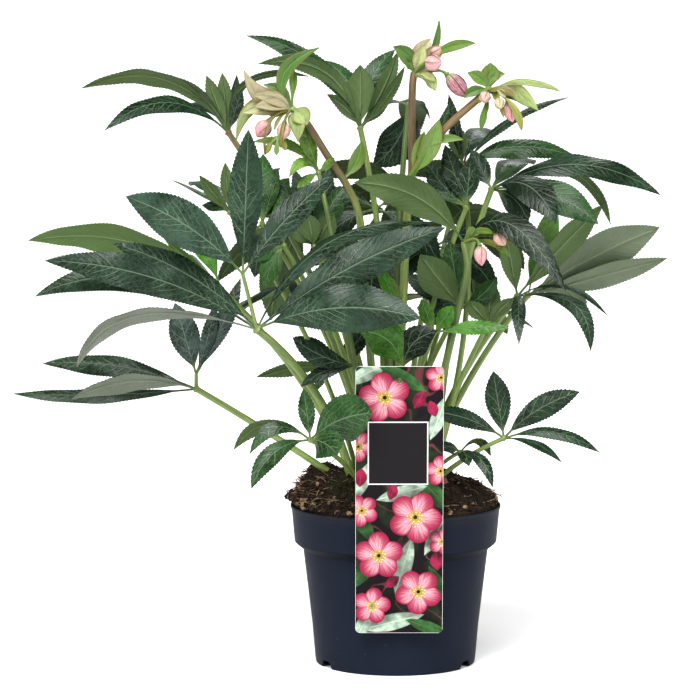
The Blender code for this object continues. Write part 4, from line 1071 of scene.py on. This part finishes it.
def all_leaves():
    made = []
    for leaf in LEAVES:
        arms = []
        for arm in leaf.arms:
            raised = tuple(blade._replace(tip=lifted(blade.tip)) for blade in arm.blades)
            arms.append(Arm(lifted(arm.base) if arm.base else None, raised))
        made.append(leaf._replace(hub=lifted(leaf.hub), arms=tuple(arms)))
    for name, finish, root, hub, *opening in FAN_LEAVES:
        made.append(Leaf(name, finish, root, hub, FAN_STALK, fan(hub, *opening)))
    return made


# Blades, stalks and buds


def rib_line(base, tip, blade, share):
    """Points and directions along a blade's rib, which bows up between its base and its tip."""
    base, tip = np.asarray(base, float), np.asarray(tip, float)
    chord = unit(tip - base)
    lift = square_to(UP, chord)
    if np.linalg.norm(lift) < 0.35:
        lift = square_to(face_way(blade.turn), chord)
    control = base + blade.peak * (tip - base) + 2 * blade.rise * unit(lift)
    points = bezier(share, base, control, tip)
    share = share[:, None]
    return points, units(2 * (1 - share) * (control - base) + 2 * share * (tip - control))


def half_widths(share, width, bias=BLADE_BIAS):
    """Half the width of a lance-shaped blade at shares of its length, past its own short stalk."""
    opened = np.clip((share - STALK_SHARE) / (1 - STALK_SHARE), 0.0, 1.0)
    lance = 0.5 * width * np.sin(math.pi * opened**bias).clip(0.0) ** 0.85
    return np.maximum(lance, np.maximum(BASE_HALF_WIDTH * (1 - share), 0.18))


def vein_dip(across, along, spacing):
    """How near each point of a blade lies to a side vein, from 0 to 1."""
    aside = np.abs(across)
    run = along - VEIN_SLOPE * aside - VEIN_CURVE * aside**2 + VEIN_START
    turns = run / spacing + VEIN_STAGGER * (across > 0)
    gap = np.abs(turns - np.floor(turns) - 0.5) * spacing
    return np.clip(1 - gap / VEIN_REACH, 0, 1)


def sheet_grid(columns, rows):
    """A grid primitive, with the column and the row of each of its points."""
    obj = primitive("grid", x_subdivisions=columns, y_subdivisions=rows, size=1)
    index = np.arange((columns + 1) * (rows + 1))
    return obj, index % (columns + 1), index // (columns + 1)


def move_to(obj, points):
    """Moves the points of a mesh, in its own order, to places in millimetres."""
    obj.data.vertices.foreach_set("co", (points * MM).astype(np.float32).ravel())
    obj.data.update()


def blade_sheet(base, tip, blade, finish, looks, chance, toothed=True):
    """One blade as an open sheet: ribbed, veined, waved at its edges and finely toothed."""
    length = float(np.linalg.norm(np.subtract(tip, base)))
    teeth = max(8, round(length / looks.tooth_spacing))
    columns = 2 * (len(HALF_COLUMNS) - 1)
    obj, column, row = sheet_grid(columns, teeth * 2)
    share = (row // 2 + TOOTH_ROWS[row % 2]) / teeth
    points, ways = rib_line(base, tip, blade, share * (1 - TIP_TRIM / length))
    out = units(np.cross(ways, face_way(blade.turn)))
    up = np.cross(out, ways)
    twist = chance.uniform(-TWIST, TWIST) * share
    cos, sin = np.cos(twist)[:, None], np.sin(twist)[:, None]
    out, up = out * cos + up * sin, up * cos - out * sin
    half = half_widths(share, blade.width, blade.belly or BLADE_BIAS)
    middle = len(HALF_COLUMNS) - 1
    place = np.array(HALF_COLUMNS)[np.abs(column - middle)]
    sign = np.sign(column - middle)
    depth = looks.tooth_depth * np.clip(half / 6.0, 0.0, 1.0) * np.clip((share - 0.2) / 0.15, 0, 1)
    if not toothed and blade.width <= SLENDER_WIDTH and not blade.belly:
        half = half_widths(share, blade.width, SLENDER_BIAS)
    reach = TOOTH_REACH[row % 2] * depth * place**6 * (1.0 if toothed else 0.2)
    across = place * half + reach
    across = np.where(np.abs(column - middle) == 1, np.minimum(RIB_HALF, 0.35 * half), across) * sign
    along = share * length
    right = (sign > 0).astype(int)
    phase = chance.uniform(0, ROUND, 2)[right]
    pitch = chance.uniform(*WAVE_PITCH, 2)[right]
    wave = WAVE_HEIGHT * half * place**2 * np.sin(along * ROUND / pitch + phase)
    groove = -GROOVE_DEPTH * np.exp(-((across / GROOVE_HALF) ** 2)) * np.clip(half / 4, 0, 1)
    dip = -VEIN_DEPTH * vein_dip(across, along, looks.vein_spacing) * np.clip(half / 9, 0, 1) * (place > 0)
    cup = -chance.uniform(*FOLD, 2)[right] if toothed else looks.bract_cup
    height = cup * half * place**1.3 + wave * (1.0 if toothed else BRACT_WAVE) + groove + dip
    move_to(obj, points + out * across[:, None] + up * height[:, None])
    skin = np.asarray(finish[:3]) * chance.uniform(*SKIN_SPREAD)
    dress(obj, np.column_stack((across, along, half)), skin, (*finish, UNDER_PALENESS)[3])
    ribs = obj.vertex_groups.new(name="thick")
    ribs.add(list(range(len(column))), THIN_SHARE, "REPLACE")
    by_rib = np.abs(column - middle) <= 1
    for step in range(teeth * 2 + 1):
        picked = np.flatnonzero(by_rib & (row == step))
        foot = max(0.3 - share[picked[0]], 0) * 3
        bulk = THIN_SHARE + (1 - THIN_SHARE) * min(half[picked[0]] / 5.0 + foot, 1.0)
        ribs.add(picked.tolist(), bulk, "REPLACE")
    return obj


def thickened(name, sheets, looks, upper, under):
    """The sheets joined and given their thickness, which grows from the upper face down."""
    obj = joined(name, sheets)
    for skin in (upper, under):
        obj.data.materials.append(skin)
    apply_modifier(obj, "SOLIDIFY", thickness=looks.rib_thickness, offset=-1.0, vertex_group="thick",
                   material_offset=1, material_offset_rim=0)
    obj.vertex_groups.clear()
    return obj


def tube(points, radii, colours, sides=10, flute=0.05):
    """A closed tube through points: its corners, faces, places and colours."""
    points = np.asarray(points, float)
    ways = units(np.gradient(points, axis=0))
    across = units(FRONT - (ways @ FRONT)[:, None] * ways)
    other = np.cross(ways, across)
    angle = 2 * math.pi * np.arange(sides) / sides
    ring = np.cos(angle)[None, :, None] * across[:, None] + np.sin(angle)[None, :, None] * other[:, None]
    rough = 1 + flute * np.cos(angle * 5)[None, :, None]
    verts = points[:, None] + ring * np.asarray(radii)[:, None, None] * rough
    along = np.concatenate(([0.0], np.cumsum(np.linalg.norm(np.diff(points, axis=0), axis=1))))
    place = np.stack(np.broadcast_arrays(np.cos(angle)[None], np.sin(angle)[None], along[:, None]), axis=2)
    colours = np.repeat(np.asarray(colours, float)[:, None], sides, axis=1)
    faces = []
    count = len(points)
    for row in range(count - 1):
        for side in range(sides):
            a, b = row * sides + side, row * sides + (side + 1) % sides
            faces.append((a, b, b + sides, a + sides))
    faces.append(tuple(range(sides))[::-1])
    faces.append(tuple(range((count - 1) * sides, count * sides)))
    return verts.reshape(-1, 3), faces, place.reshape(-1, 3), colours.reshape(-1, 3)


def gathered(name, parts, skin):
    """One object from several tubes or crumbs, with their places and colours."""
    verts, corners, places, colours = zip(*parts)
    faces = []
    start = 0
    for points, made in zip(verts, corners):
        faces += [tuple(corner + start for corner in face) for face in made]
        start += len(points)
    obj = mesh_of(name, np.concatenate(verts), faces, skin)
    dress(obj, np.concatenate(places), np.concatenate(colours))
    return obj


def blend_colours(colours, count):
    """Colours along a tube, from the first to the last."""
    colours = np.asarray(colours, float)
    at = np.linspace(0, len(colours) - 1, count)
    return np.column_stack([np.interp(at, np.arange(len(colours)), part) for part in colours.T])


def smooth_path(points, per_span=6):
    """A rounded path through the points."""
    points = np.asarray(points, float)
    padded = np.vstack((2 * points[0] - points[1], points, 2 * points[-1] - points[-2]))
    found = []
    for a, b, c, d in zip(padded, padded[1:], padded[2:], padded[3:]):
        for t in np.arange(per_span) / per_span:
            found.append(0.5 * (2 * b + (c - a) * t + (2 * a - 5 * b + 4 * c - d) * t**2
                                + (3 * b - a - 3 * c + d) * t**3))
    return np.array(found + [points[-1]])


def stalk_tube(leaf, side):
    """A leaf's stalk, which swells at its foot and at the hub."""
    points = bowed(root_of(leaf), leaf.hub, leaf.bow, side, 18)
    way = unit(points[-1] - points[-2])
    knob = way * STALK_KNOB
    points = np.vstack((points[:-1], points[-1] - knob, points[-1], points[-1] + knob))
    radii = np.linspace(leaf.stalk * STALK_FOOT, leaf.stalk, len(points))
    radii[-2:] *= (1.4, 0.75)
    colours = (STALK_LIGHT, STALK_LIGHT, STALK, RUST if leaf.name == "leaf_upper_left" else STALK)
    if leaf.name in SHADED_STALKS:
        colours = (STALK, SHADED, SHADED, STALK)
    return tube(points, radii, blend_colours(colours, len(points)))


def make_leaf(leaf, looks, chance):
    """One leaf: its stalk, its twigs and its blades, then the small inner leaflets."""
    skins = plant_materials(looks)
    settled = Settled(leaf.name)
    tubes = [stalk_tube(leaf, settled.stalk(leaf))]
    sheets = []
    for arm in leaf.arms:
        base = arm.base or leaf.hub
        if arm.base:
            path = np.linspace(leaf.hub, arm.base, 5)
            tubes.append(tube(path, np.linspace(*TWIG_RADII, 5), blend_colours((STALK, STALK), 5)))
        for blade in arm.blades:
            tip = settled.tip(base, blade.tip)
            finish = blade.finish or leaf.finish
            sheets.append(blade_sheet(base, tip, blade, finish, looks, chance))
    for blade in INNER_LEAFLETS.get(leaf.name, hand()).blades:
        sheets.append(blade_sheet(leaf.hub, blade.tip, blade, blade.finish or leaf.finish, looks, chance))
    obj = thickened(leaf.name + "_sheets", sheets, looks, skins["leaf_upper"], skins["leaf_under"])
    stalks = gathered(leaf.name + "_stalks", tubes, skins["stalk_skin"])
    settle(joined("fine_" + leaf.name, [obj, stalks]), PLANT_ANGLE, "leaf_green", leaf.name)


def bud_stalk(bud):
    """The stalk from the stem to the bud, which ends in line with the bud in a small cup."""
    start, base, axis = np.asarray(bud.start, float), np.asarray(bud.base, float), unit(bud.axis)
    near = base - axis * 0.22 * np.linalg.norm(base - start)
    points = bezier(np.linspace(0.0, 1.0, BUD_STALK_RINGS), start, 2 * near - base, base)
    radii = np.linspace(*BUD_STALK, BUD_STALK_RINGS)
    radii[-2:] = (1.5, 0.4 * bud.radius)
    return tube(points, radii, blend_colours((OLIVE, STALK, LIME), BUD_STALK_RINGS), sides=8)


def make_stem(name, tubes, arms, looks, chance):
    """One flower stem: its tubes and the buds' stalks, its bracts, and leaflets where a bract is leafy."""
    skins = plant_materials(looks)
    settled = Settled(name)
    parts = []
    for stem in tubes:
        path = smooth_path(stem.points)
        radii = np.linspace(*stem.radii, len(path))
        parts.append(tube(path, radii, blend_colours(stem.colours, len(path)), sides=12))
    parts += [bud_stalk(bud) for bud in BUDS if bud.stem == name]
    leaflets, bracts = [], []
    for arm in arms:
        for blade in arm.blades:
            tip = settled.tip(arm.base, blade.tip)
            leafy = blade.finish in LEAFY
            sheet = blade_sheet(arm.base, tip, blade, blade.finish, looks, chance, leafy)
            (leaflets if leafy else bracts).append(sheet)
    for base, *row in FRILLS[name]:
        blade = hand(row).blades[0]
        bracts.append(blade_sheet(base, blade.tip, blade, blade.finish, looks, chance, False))
    pieces = [
        thickened(name + "_bracts", bracts, looks, skins["bract_skin"], skins["bract_skin"]),
        gathered(name + "_tubes", parts, skins["stalk_skin"]),
    ]
    if leaflets:
        upper, under = skins["leaf_upper"], skins["leaf_under"]
        pieces.append(thickened(name + "_leaflets", leaflets, looks, upper, under))
    settle(joined("fine_" + name, pieces), PLANT_ANGLE, "stem_green", name)

def make_bud(bud, looks, chance):
    """A closed bud: five sepals, each laid over the edge of the next."""
    axis = unit(bud.axis)
    across = unit(square_to(FRONT, axis))
    other = np.cross(axis, across)
    base = np.asarray(bud.base, float) + axis * 0.3
    sheets = []
    for sepal in range(SEPALS):
        obj, column, row = sheet_grid(*SEPAL_GRID)
        u, v = 2.0 * column / SEPAL_GRID[0] - 1.0, row / SEPAL_GRID[1]
        angle = math.radians(SEPAL_HALF_ANGLE) * u + 2 * math.pi * (sepal * 2 / SEPALS) + 0.5 * v
        profile = np.interp(v, *BUD_PROFILE)
        radius = bud.radius * profile * (0.94 + 0.1 * u - 0.04 * u**2 * (1 - v))
        crest = bud.length * v * (1 + 0.03 * chance.uniform(-1, 1))
        ring = np.cos(angle)[:, None] * across + np.sin(angle)[:, None] * other
        move_to(obj, base + axis * crest[:, None] + ring * radius[:, None])
        pale = np.asarray(bud.colour)[None] * (1 + 0.25 * (v[:, None] - 0.5))
        foot = np.clip(1.3 - v / 0.2, 0, 1)[:, None]
        dress(obj, np.column_stack((u, v * bud.length, v)), pale * (1 - foot) + np.asarray(OLIVE) * foot)
        sheets.append(obj)
    obj = joined("fine_" + bud.name, sheets)
    obj.data.materials.append(plant_materials(looks)["sepal_skin"])
    apply_modifier(obj, "SOLIDIFY", thickness=SEPAL_THICKNESS, offset=-1.0)
    settle(obj, PLANT_ANGLE, "sepal_pink", bud.name)


# Peat, pot and label


def ring_spot(side, reach):
    """Where a side of the peat's round lies at this reach."""
    angle = 2 * math.pi * side / PEAT_SIDES
    return reach * math.sin(angle), -reach * math.cos(angle)


def make_peat(looks):
    """The peat's crumbly top and its plain sides, then loose crumbs and fibres on it."""
    skin, chance = peat(looks), np.random.default_rng(looks.seed)
    rings, sides = PEAT_RINGS, PEAT_SIDES
    verts, faces = [], []
    for ring in range(1, rings + 1):
        reach = SOIL_REACH * (ring / rings) ** 0.8
        for side in range(sides):
            x, y = ring_spot(side, reach)
            spot = Vector((x * 0.16, y * 0.16, 0.0))
            lump = 3.4 * noise.fractal(spot, 0.7, 2.2, 4) + 2.4 * (0.5 - noise.voronoi(spot * 1.7)[0][0])
            edge = min(1.0, (SOIL_REACH - reach) / 4 + 0.25)
            verts.append((x, y, soil_height(x, y) + (1.2 + lump) * edge))
    for radius, height in PEAT_SIDE_RINGS:
        verts += [(*ring_spot(side, radius), height) for side in range(sides)]
    rows = rings + len(PEAT_SIDE_RINGS)
    for start in range(0, (rows - 1) * sides, sides):
        for side in range(sides):
            a, b = start + side, start + (side + 1) % sides
            faces.append((a, a + sides, b + sides, b))
    faces.append(tuple(range(sides)))
    faces.append(tuple(range((rows - 1) * sides, rows * sides))[::-1])
    verts = np.array(verts)
    moss = MOSS_SHARE * np.exp(-(((verts[:, :2] - MOSS_SPOT) / MOSS_SPREAD) ** 2).sum(axis=1))[:, None]
    bed = mesh_of("peat_bed", verts, faces, skin)
    dress(bed, verts, np.asarray(looks.colour) * (1 - moss) + np.asarray(MOSS_TINT) * moss)
    settle(bed, 60, "peat", "soil")
    settle(gathered("peat_crumbs", crumbs(looks, chance) + fibres(looks, chance), skin), None, "peat")


def crumb_shapes():
    """A few rough lumps, each made once."""
    found = []
    for seed in range(4):
        obj = primitive("ico_sphere", subdivisions=1 if seed else 2, radius=1.0)
        with editing():
            bpy.ops.transform.vertex_random(offset=0.32, seed=seed)
        verts = np.array([tuple(vert.co) for vert in obj.data.vertices])
        faces = [tuple(face.vertices) for face in obj.data.polygons]
        bpy.data.objects.remove(obj)
        found.append((verts, faces))
    return found


def peat_spot(chance):
    """A random place on the peat, with more of them on the heap at the left and by the rim."""
    kind = chance.random()
    if kind < 0.35:
        angle = chance.normal(0.0, 0.5)
        reach = SOIL_REACH + chance.uniform(-16, 5.5)
        return -reach * math.cos(angle), reach * math.sin(angle)
    angle = chance.uniform(0, 2 * math.pi)
    reach = SOIL_REACH * math.sqrt(chance.random()) if kind < 0.8 else SOIL_REACH - chance.uniform(0, 9)
    return reach * math.cos(angle), reach * math.sin(angle)


def resting_height(x, y):
    """The peat's height, or that of the heap where it hangs over the rim."""
    reach = math.hypot(x, y)
    if reach < SOIL_REACH - 2:
        return soil_height(x, y)
    shrink = (SOIL_REACH - 2) / reach
    return max(soil_height(x * shrink, y * shrink), POT_HEIGHT + 0.8)


def crumbs(looks, chance):
    shapes = crumb_shapes()
    found = []
    for _ in range(looks.crumbs):
        x, y = peat_spot(chance)
        size = chance.uniform(*CRUMB_SIZES) * (1.6 if chance.random() < 0.16 else 1.0)
        verts, faces = shapes[int(chance.integers(len(shapes)))]
        turn = np.array(Matrix.Rotation(chance.uniform(0, ROUND), 3, Vector(chance.normal(size=3))))
        placed = (verts * chance.uniform(0.6, 1.2, 3) * size) @ turn.T
        placed = placed + (x, y, resting_height(x, y) + size * chance.uniform(0.1, 0.7))
        tone = chance.random()
        colour = np.asarray(looks.colour) * chance.uniform(0.6, 1.8)
        if tone > 1 - CHIP_SHARE:
            colour = np.asarray(looks.chip) * chance.uniform(0.7, 1.3)
        found.append((placed, faces, placed, np.broadcast_to(colour, placed.shape)))
    return found


def fibres(looks, chance):
    """Short bent roots and straws, lying on the peat or standing a little out of it."""
    found = []
    for _ in range(looks.fibres):
        x, y = peat_spot(chance)
        length = chance.uniform(*FIBRE_LENGTHS)
        heading = chance.uniform(0, 2 * math.pi)
        way = np.array((math.cos(heading), math.sin(heading), chance.uniform(-0.2, 0.45)))
        bend = chance.normal(0, 0.5, 3)
        share = np.linspace(-0.5, 0.5, 6)[:, None]
        middle = np.array((x, y, resting_height(x, y) + chance.uniform(0.6, 2.4)))
        points = middle + way * share * length + bend * (share**2 - 0.08) * length * 0.9
        if np.hypot(points[:, 0], points[:, 1]).max() >= SOIL_REACH + 9:
            continue
        thick = chance.uniform(*FIBRE_RADII)
        tone = np.asarray(looks.colour) * 2.0 if chance.random() < 0.55 else np.asarray(looks.chip)
        tone = tone * chance.uniform(0.6, 1.2)
        radii = thick * np.array((0.5, 0.9, 1.0, 1.0, 0.8, 0.35))
        found.append(tube(points, radii, np.broadcast_to(tone, (6, 3)), sides=4, flute=0.0))
    return found


def make_pot(looks):
    """The pot, drawn up from its base ring by ring, over the rim bead and down the inner wall."""
    radius, height = POT_RINGS[0]
    place = (0, 0, height * MM)
    pot = primitive("circle", vertices=looks.sides, radius=radius * MM, fill_type="NGON", location=place)
    with editing("SELECT"):
        for (narrow, low), (wide, high) in zip(POT_RINGS, POT_RINGS[1:]):
            bpy.ops.mesh.extrude_region_move(TRANSFORM_OT_translate={"value": (0, 0, (high - low) * MM)})
            scale = wide / narrow
            bpy.ops.transform.resize(value=(scale, scale, 1.0), center_override=(0, 0, high * MM))
        bpy.ops.mesh.select_all(action="SELECT")
        bpy.ops.mesh.normals_make_consistent(inside=False)
    cut_notches(pot)
    pot.name = pot.data.name = "nursery_pot"
    pot.data.materials.append(pot_plastic(looks))
    settle(pot, 32, "pot_plastic", "pot")


def cut_notches(pot):
    """Cuts the drain notches with one rounded block, set at each place in turn."""
    wide, deep, high = NOTCH_SIZE
    middle = FOOT_RADIUS - 2.5
    for angle in NOTCH_ANGLES:
        turn = math.radians(angle)
        cutter = primitive("cube", size=1.0)
        for vert in cutter.data.vertices:
            vert.co.x *= NOTCH_TAPER[vert.co.z > 0]
        cutter.scale = (wide * MM, deep * MM, 2 * high * MM)
        pick(cutter)
        bpy.ops.object.transform_apply(location=False, rotation=False, scale=True)
        with editing("SELECT"):
            bpy.ops.mesh.bevel(offset=NOTCH_BEVEL * MM, segments=3, affect="EDGES")
        cutter.rotation_euler = (0, 0, turn)
        cutter.location = (middle * math.sin(turn) * MM, -middle * math.cos(turn) * MM, 0.0)
        bpy.context.view_layer.update()
        cut(pot, cutter)


def block(name, low, high):
    """A box between two corners, at its own size, with its place in its mesh."""
    obj = primitive("cube", size=1.0, location=[(a + b) / 2 * MM for a, b in zip(low, high)])
    obj.name = name
    obj.scale = [(b - a) * MM for a, b in zip(low, high)]
    pick(obj)
    bpy.ops.object.transform_apply(location=True, rotation=True, scale=True)
    return obj


def make_label(looks):
    """The card with round corners and a hanging hole, leaning on the rim, and its tongue over the rim."""
    wide, thick, high = LABEL_SIZE
    card = block("label_card", (-wide / 2, -thick, 0.0), (wide / 2, 0.0, high))
    with editing("DESELECT"):
        bpy.ops.mesh.select_mode(type="EDGE")
    for edge in card.data.edges:
        a, b = (card.data.vertices[index].co for index in edge.vertices)
        edge.select = abs(a.x - b.x) < MM / 10 and abs(a.z - b.z) < MM / 10
    with editing():
        bpy.ops.mesh.bevel(offset=LABEL_CORNER * MM, segments=6, affect="EDGES")
    up, radius = LABEL_HOLE
    cut(card, primitive("cylinder", vertices=24, radius=radius * MM, depth=6 * MM, location=(0, 0, up * MM),
                        rotation=(math.pi / 2, 0, 0)))
    place = np.array([tuple(vert.co / MM) for vert in card.data.vertices])
    dress(card, place[:, (0, 2, 1)], looks.card)
    card.rotation_euler = (math.radians(LABEL_LEAN), 0, 0)
    card.location = (LABEL_CENTRE_X * MM, LABEL_LOW[0] * MM, LABEL_LOW[1] * MM)
    pick(card)
    bpy.ops.object.transform_apply(location=True, rotation=True, scale=True)
    pieces = [card]
    for name, half, low, high in TONGUE:
        piece = block(name, (LABEL_CENTRE_X - half, *low), (LABEL_CENTRE_X + half, *high))
        dress(piece, np.zeros((len(piece.data.vertices), 3)), looks.card)
        pieces.append(piece)
    obj = joined("label_print", pieces)
    obj.data.materials.append(label_print(looks))
    settle(obj, 30, "label_card", "label")


# Stage


def make_stage(looks):
    """A plain pale floor, soft lights, and the camera where the photograph was taken from."""
    place = (0, 0, FLOOR_DROP)
    floor = primitive("circle", vertices=96, radius=looks.floor_radius, fill_type="NGON", location=place)
    floor.name = "floor"
    floor.data.materials.append(floor_paper(looks))
    world = bpy.data.worlds.new("studio")
    world.use_nodes = True
    tree = Tree(world.node_tree)
    rise = tree.split(tree.add("TexCoord", (), "Generated"))[2]
    wall = rise.step(*WALL_RISE, looks.wall, looks.fill)
    tree.put(tree.combine(wall, wall, wall), world.node_tree.nodes["Background"].inputs["Color"])
    bpy.context.scene.world = world
    bpy.ops.object.light_add(type="SUN", rotation=[math.radians(angle) for angle in SUN_TURN])
    sun = bpy.context.object
    sun.name = "soft_overhead"
    sun.data.energy = looks.overhead
    sun.data.angle = math.radians(SUN_ANGLE)
    for name, location, size, power in STUDIO_LIGHTS:
        bpy.ops.object.light_add(type="AREA", location=location)
        light = bpy.context.object
        light.name = name
        light.data.shape = "SQUARE"
        light.data.size = size
        light.data.energy = power
        aim = Vector(LIGHT_AIM) - Vector(location)
        light.rotation_euler = aim.to_track_quat("-Z", "Y").to_euler()
    x, y, z = CAMERA_PLACE
    down = math.atan2(z - CAMERA_AIM_Z, -y)
    bpy.ops.object.camera_add(location=CAMERA_PLACE, rotation=(math.pi / 2 - down, 0, 0))
    camera = bpy.context.object
    camera.data.lens = looks.lens
    camera.data.sensor_width = 36.0
    camera.data.clip_end = 300.0
    bpy.context.scene.camera = camera
    bpy.context.scene.view_settings.view_transform = "Standard"
    bpy.context.scene.view_settings.look = "Medium High Contrast"


# Settings, operators and panel


def number(name, description, default, **limits):
    return bpy.props.FloatProperty(name=name, description=description, default=default, **limits)


def count(name, description, default, **limits):
    return bpy.props.IntProperty(name=name, description=description, default=default, **limits)


def colour(name, description, default):
    return bpy.props.FloatVectorProperty(
        name=name, description=description, default=default, size=3, subtype="COLOR", min=0.0, max=1.0)


def part(name, description, kind):
    return bpy.props.PointerProperty(name=name, description=description, type=kind)


class LeafSettings(bpy.types.PropertyGroup):
    tooth_spacing: number("Tooth spacing", "Millimetres from tooth to tooth", 3.3, min=2.0, max=12.0)
    tooth_depth: number("Tooth depth", "Millimetres from notch to point", 0.95, min=0.0, max=4.0)
    vein_spacing: number("Vein spacing", "Millimetres between side veins", 9.0, min=3.0, max=20.0)
    rib_thickness: number("Rib thickness", "Thickness at the midrib", 0.0014, unit="LENGTH")
    vein: colour("Vein", "Colour of the veins on the upper face", (0.34, 0.45, 0.30))
    bloom: colour("Bloom", "Colour of the fine pale bloom", (0.10, 0.14, 0.11))
    under_green: colour("Lower green", "Colour of a greener lower face", (0.105, 0.165, 0.050))
    underside: colour("Underside", "Pale colour of the lower face", (0.195, 0.208, 0.182))
    rib: colour("Rib", "Colour of the raised rib on the lower face", (0.28, 0.35, 0.19))
    stalk: colour("Stalk", "Colour at the foot of each blade", STALK)
    bract_edge: colour("Bract edge", "Colour of the bracts' browned edges", (0.23, 0.15, 0.06))
    bract_cup: number("Bract cup", "How far a bract's edges turn up, against its half width", 0.3)


class PeatSettings(bpy.types.PropertyGroup):
    crumbs: count("Crumbs", "Loose lumps", 900, min=0, max=3000)
    fibres: count("Fibres", "Roots and straws", 900, min=0, max=3000)
    seed: count("Seed", "Draws another scatter", 7, min=0)
    colour: colour("Peat", "Colour of damp peat", (0.040, 0.027, 0.020))
    chip: colour("Chip", "Colour of dry straw and bark", (0.420, 0.300, 0.190))


class PotSettings(bpy.types.PropertyGroup):
    sides: count("Sides", "Faces round the pot", 112, min=24, max=256)
    colour: colour("Plastic", "Colour of the pot", (0.0155, 0.0195, 0.0325))
    colour_light: colour("Plastic, light", "Colour of its paler patches", (0.0170, 0.0215, 0.0350))
    dust: colour("Dust", "Colour of dust and splashes", (0.22, 0.22, 0.22))


class LabelSettings(bpy.types.PropertyGroup):
    petal_deep: colour("Petal, deep", "Colour of the printed petals' rim", (0.30, 0.014, 0.062))
    petal_light: colour("Petal, light", "Colour of the printed petals' middle", (0.86, 0.44, 0.50))
    core: colour("Heart", "Colour of the printed hearts", (0.36, 0.30, 0.05))
    heart: colour("Stamens", "Colour of the printed stamens", (0.92, 0.72, 0.20))
    panel: colour("Panel", "Colour of the bare panel", (0.014, 0.012, 0.014))
    card: colour("Card", "Colour of the card itself", (0.74, 0.74, 0.74))


class StageSettings(bpy.types.PropertyGroup):
    lens: number("Lens", "Focal length of the camera", 184.97, unit="CAMERA")
    floor_radius: number("Floor", "Radius of the floor", 90.0, unit="LENGTH")
    fill: number("Fill", "Strength of the light from above", 0.25)
    wall: number("Wall", "Strength of the light from around", 0.62)
    overhead: number("Overhead", "Strength of the soft light overhead", 3.1)


class RoseSettings(bpy.types.PropertyGroup):
    leaf: part("Leaves", "Blades and their finish", LeafSettings)
    peat: part("Peat", "Growing medium", PeatSettings)
    pot: part("Pot", "Nursery pot", PotSettings)
    label: part("Label", "Card label", LabelSettings)
    stage: part("Stage", "Floor, lights and camera", StageSettings)


class LENTEN_OT_pot(bpy.types.Operator):
    """Draws up the nursery pot with its collar, rim bead and drain notches"""

    bl_idname = "lenten.pot"
    bl_label = "Nursery pot"

    def execute(self, context):
        make_pot(context.scene.lenten_rose.pot)
        return {"FINISHED"}


class LENTEN_OT_peat(bpy.types.Operator):
    """Fills the pot with crumbly, fibrous peat"""

    bl_idname = "lenten.peat"
    bl_label = "Peat"

    def execute(self, context):
        make_peat(context.scene.lenten_rose.peat)
        return {"FINISHED"}


class LENTEN_OT_label(bpy.types.Operator):
    """Makes the card label with its generic flower print and hangs it on the rim"""

    bl_idname = "lenten.label"
    bl_label = "Card label"

    def execute(self, context):
        make_label(context.scene.lenten_rose.label)
        return {"FINISHED"}


class LENTEN_OT_leaves(bpy.types.Operator):
    """Grows each leaf: its stalk and its hand of toothed, veined blades"""

    bl_idname = "lenten.leaves"
    bl_label = "Leaves"

    def execute(self, context):
        for index, leaf in enumerate(all_leaves()):
            make_leaf(leaf, context.scene.lenten_rose.leaf, np.random.default_rng(LEAF_SEED + index))
        return {"FINISHED"}


class LENTEN_OT_stems(bpy.types.Operator):
    """Grows the flower stems with their bracts and the stalks of the buds"""

    bl_idname = "lenten.stems"
    bl_label = "Flower stems"

    def execute(self, context):
        for index, stem in enumerate(FLOWER_STEMS):
            make_stem(*stem, context.scene.lenten_rose.leaf, np.random.default_rng(STEM_SEED + index))
        return {"FINISHED"}


class LENTEN_OT_buds(bpy.types.Operator):
    """Folds the sepals of each closed bud"""

    bl_idname = "lenten.buds"
    bl_label = "Buds"

    def execute(self, context):
        for index, bud in enumerate(BUDS):
            make_bud(bud, context.scene.lenten_rose.leaf, np.random.default_rng(BUD_SEED + index))
        return {"FINISHED"}


class LENTEN_OT_stage(bpy.types.Operator):
    """Sets the floor, the studio lights and the camera"""

    bl_idname = "lenten.stage"
    bl_label = "Stage"

    def execute(self, context):
        make_stage(context.scene.lenten_rose.stage)
        return {"FINISHED"}


class LENTEN_PT_panel(bpy.types.Panel):
    """Lists the pieces of the potted lenten rose"""

    bl_idname = "LENTEN_PT_panel"
    bl_label = "Lenten Rose"
    bl_space_type = "VIEW_3D"
    bl_region_type = "UI"
    bl_category = "Lenten Rose"

    def draw(self, context):
        for part_name, operators in PANEL_ROWS.items():
            box = self.layout.box()
            settings = getattr(context.scene.lenten_rose, part_name)
            for key in type(settings).__annotations__:
                box.prop(settings, key)
            for operator in operators:
                box.operator("lenten." + operator)


PANEL_ROWS = {
    "pot": ("pot",),
    "peat": ("peat",),
    "label": ("label",),
    "leaf": ("leaves", "stems", "buds"),
    "stage": ("stage",),
}
CLASSES = (
    LeafSettings, PeatSettings, PotSettings, LabelSettings, StageSettings, RoseSettings, LENTEN_OT_pot,
    LENTEN_OT_peat, LENTEN_OT_label, LENTEN_OT_leaves, LENTEN_OT_stems, LENTEN_OT_buds, LENTEN_OT_stage,
    LENTEN_PT_panel,
)


def register():
    for made in CLASSES:
        bpy.utils.register_class(made)
    bpy.types.Scene.lenten_rose = bpy.props.PointerProperty(type=RoseSettings)


def unregister():
    del bpy.types.Scene.lenten_rose
    for made in reversed(CLASSES):
        bpy.utils.unregister_class(made)


def main():
    register()
    bpy.ops.lenten.stage()
    bpy.ops.lenten.pot()
    bpy.ops.lenten.peat()
    bpy.ops.lenten.label()
    bpy.ops.lenten.stems()
    bpy.ops.lenten.leaves()
    bpy.ops.lenten.buds()


if __name__ == "__main__":
    main()
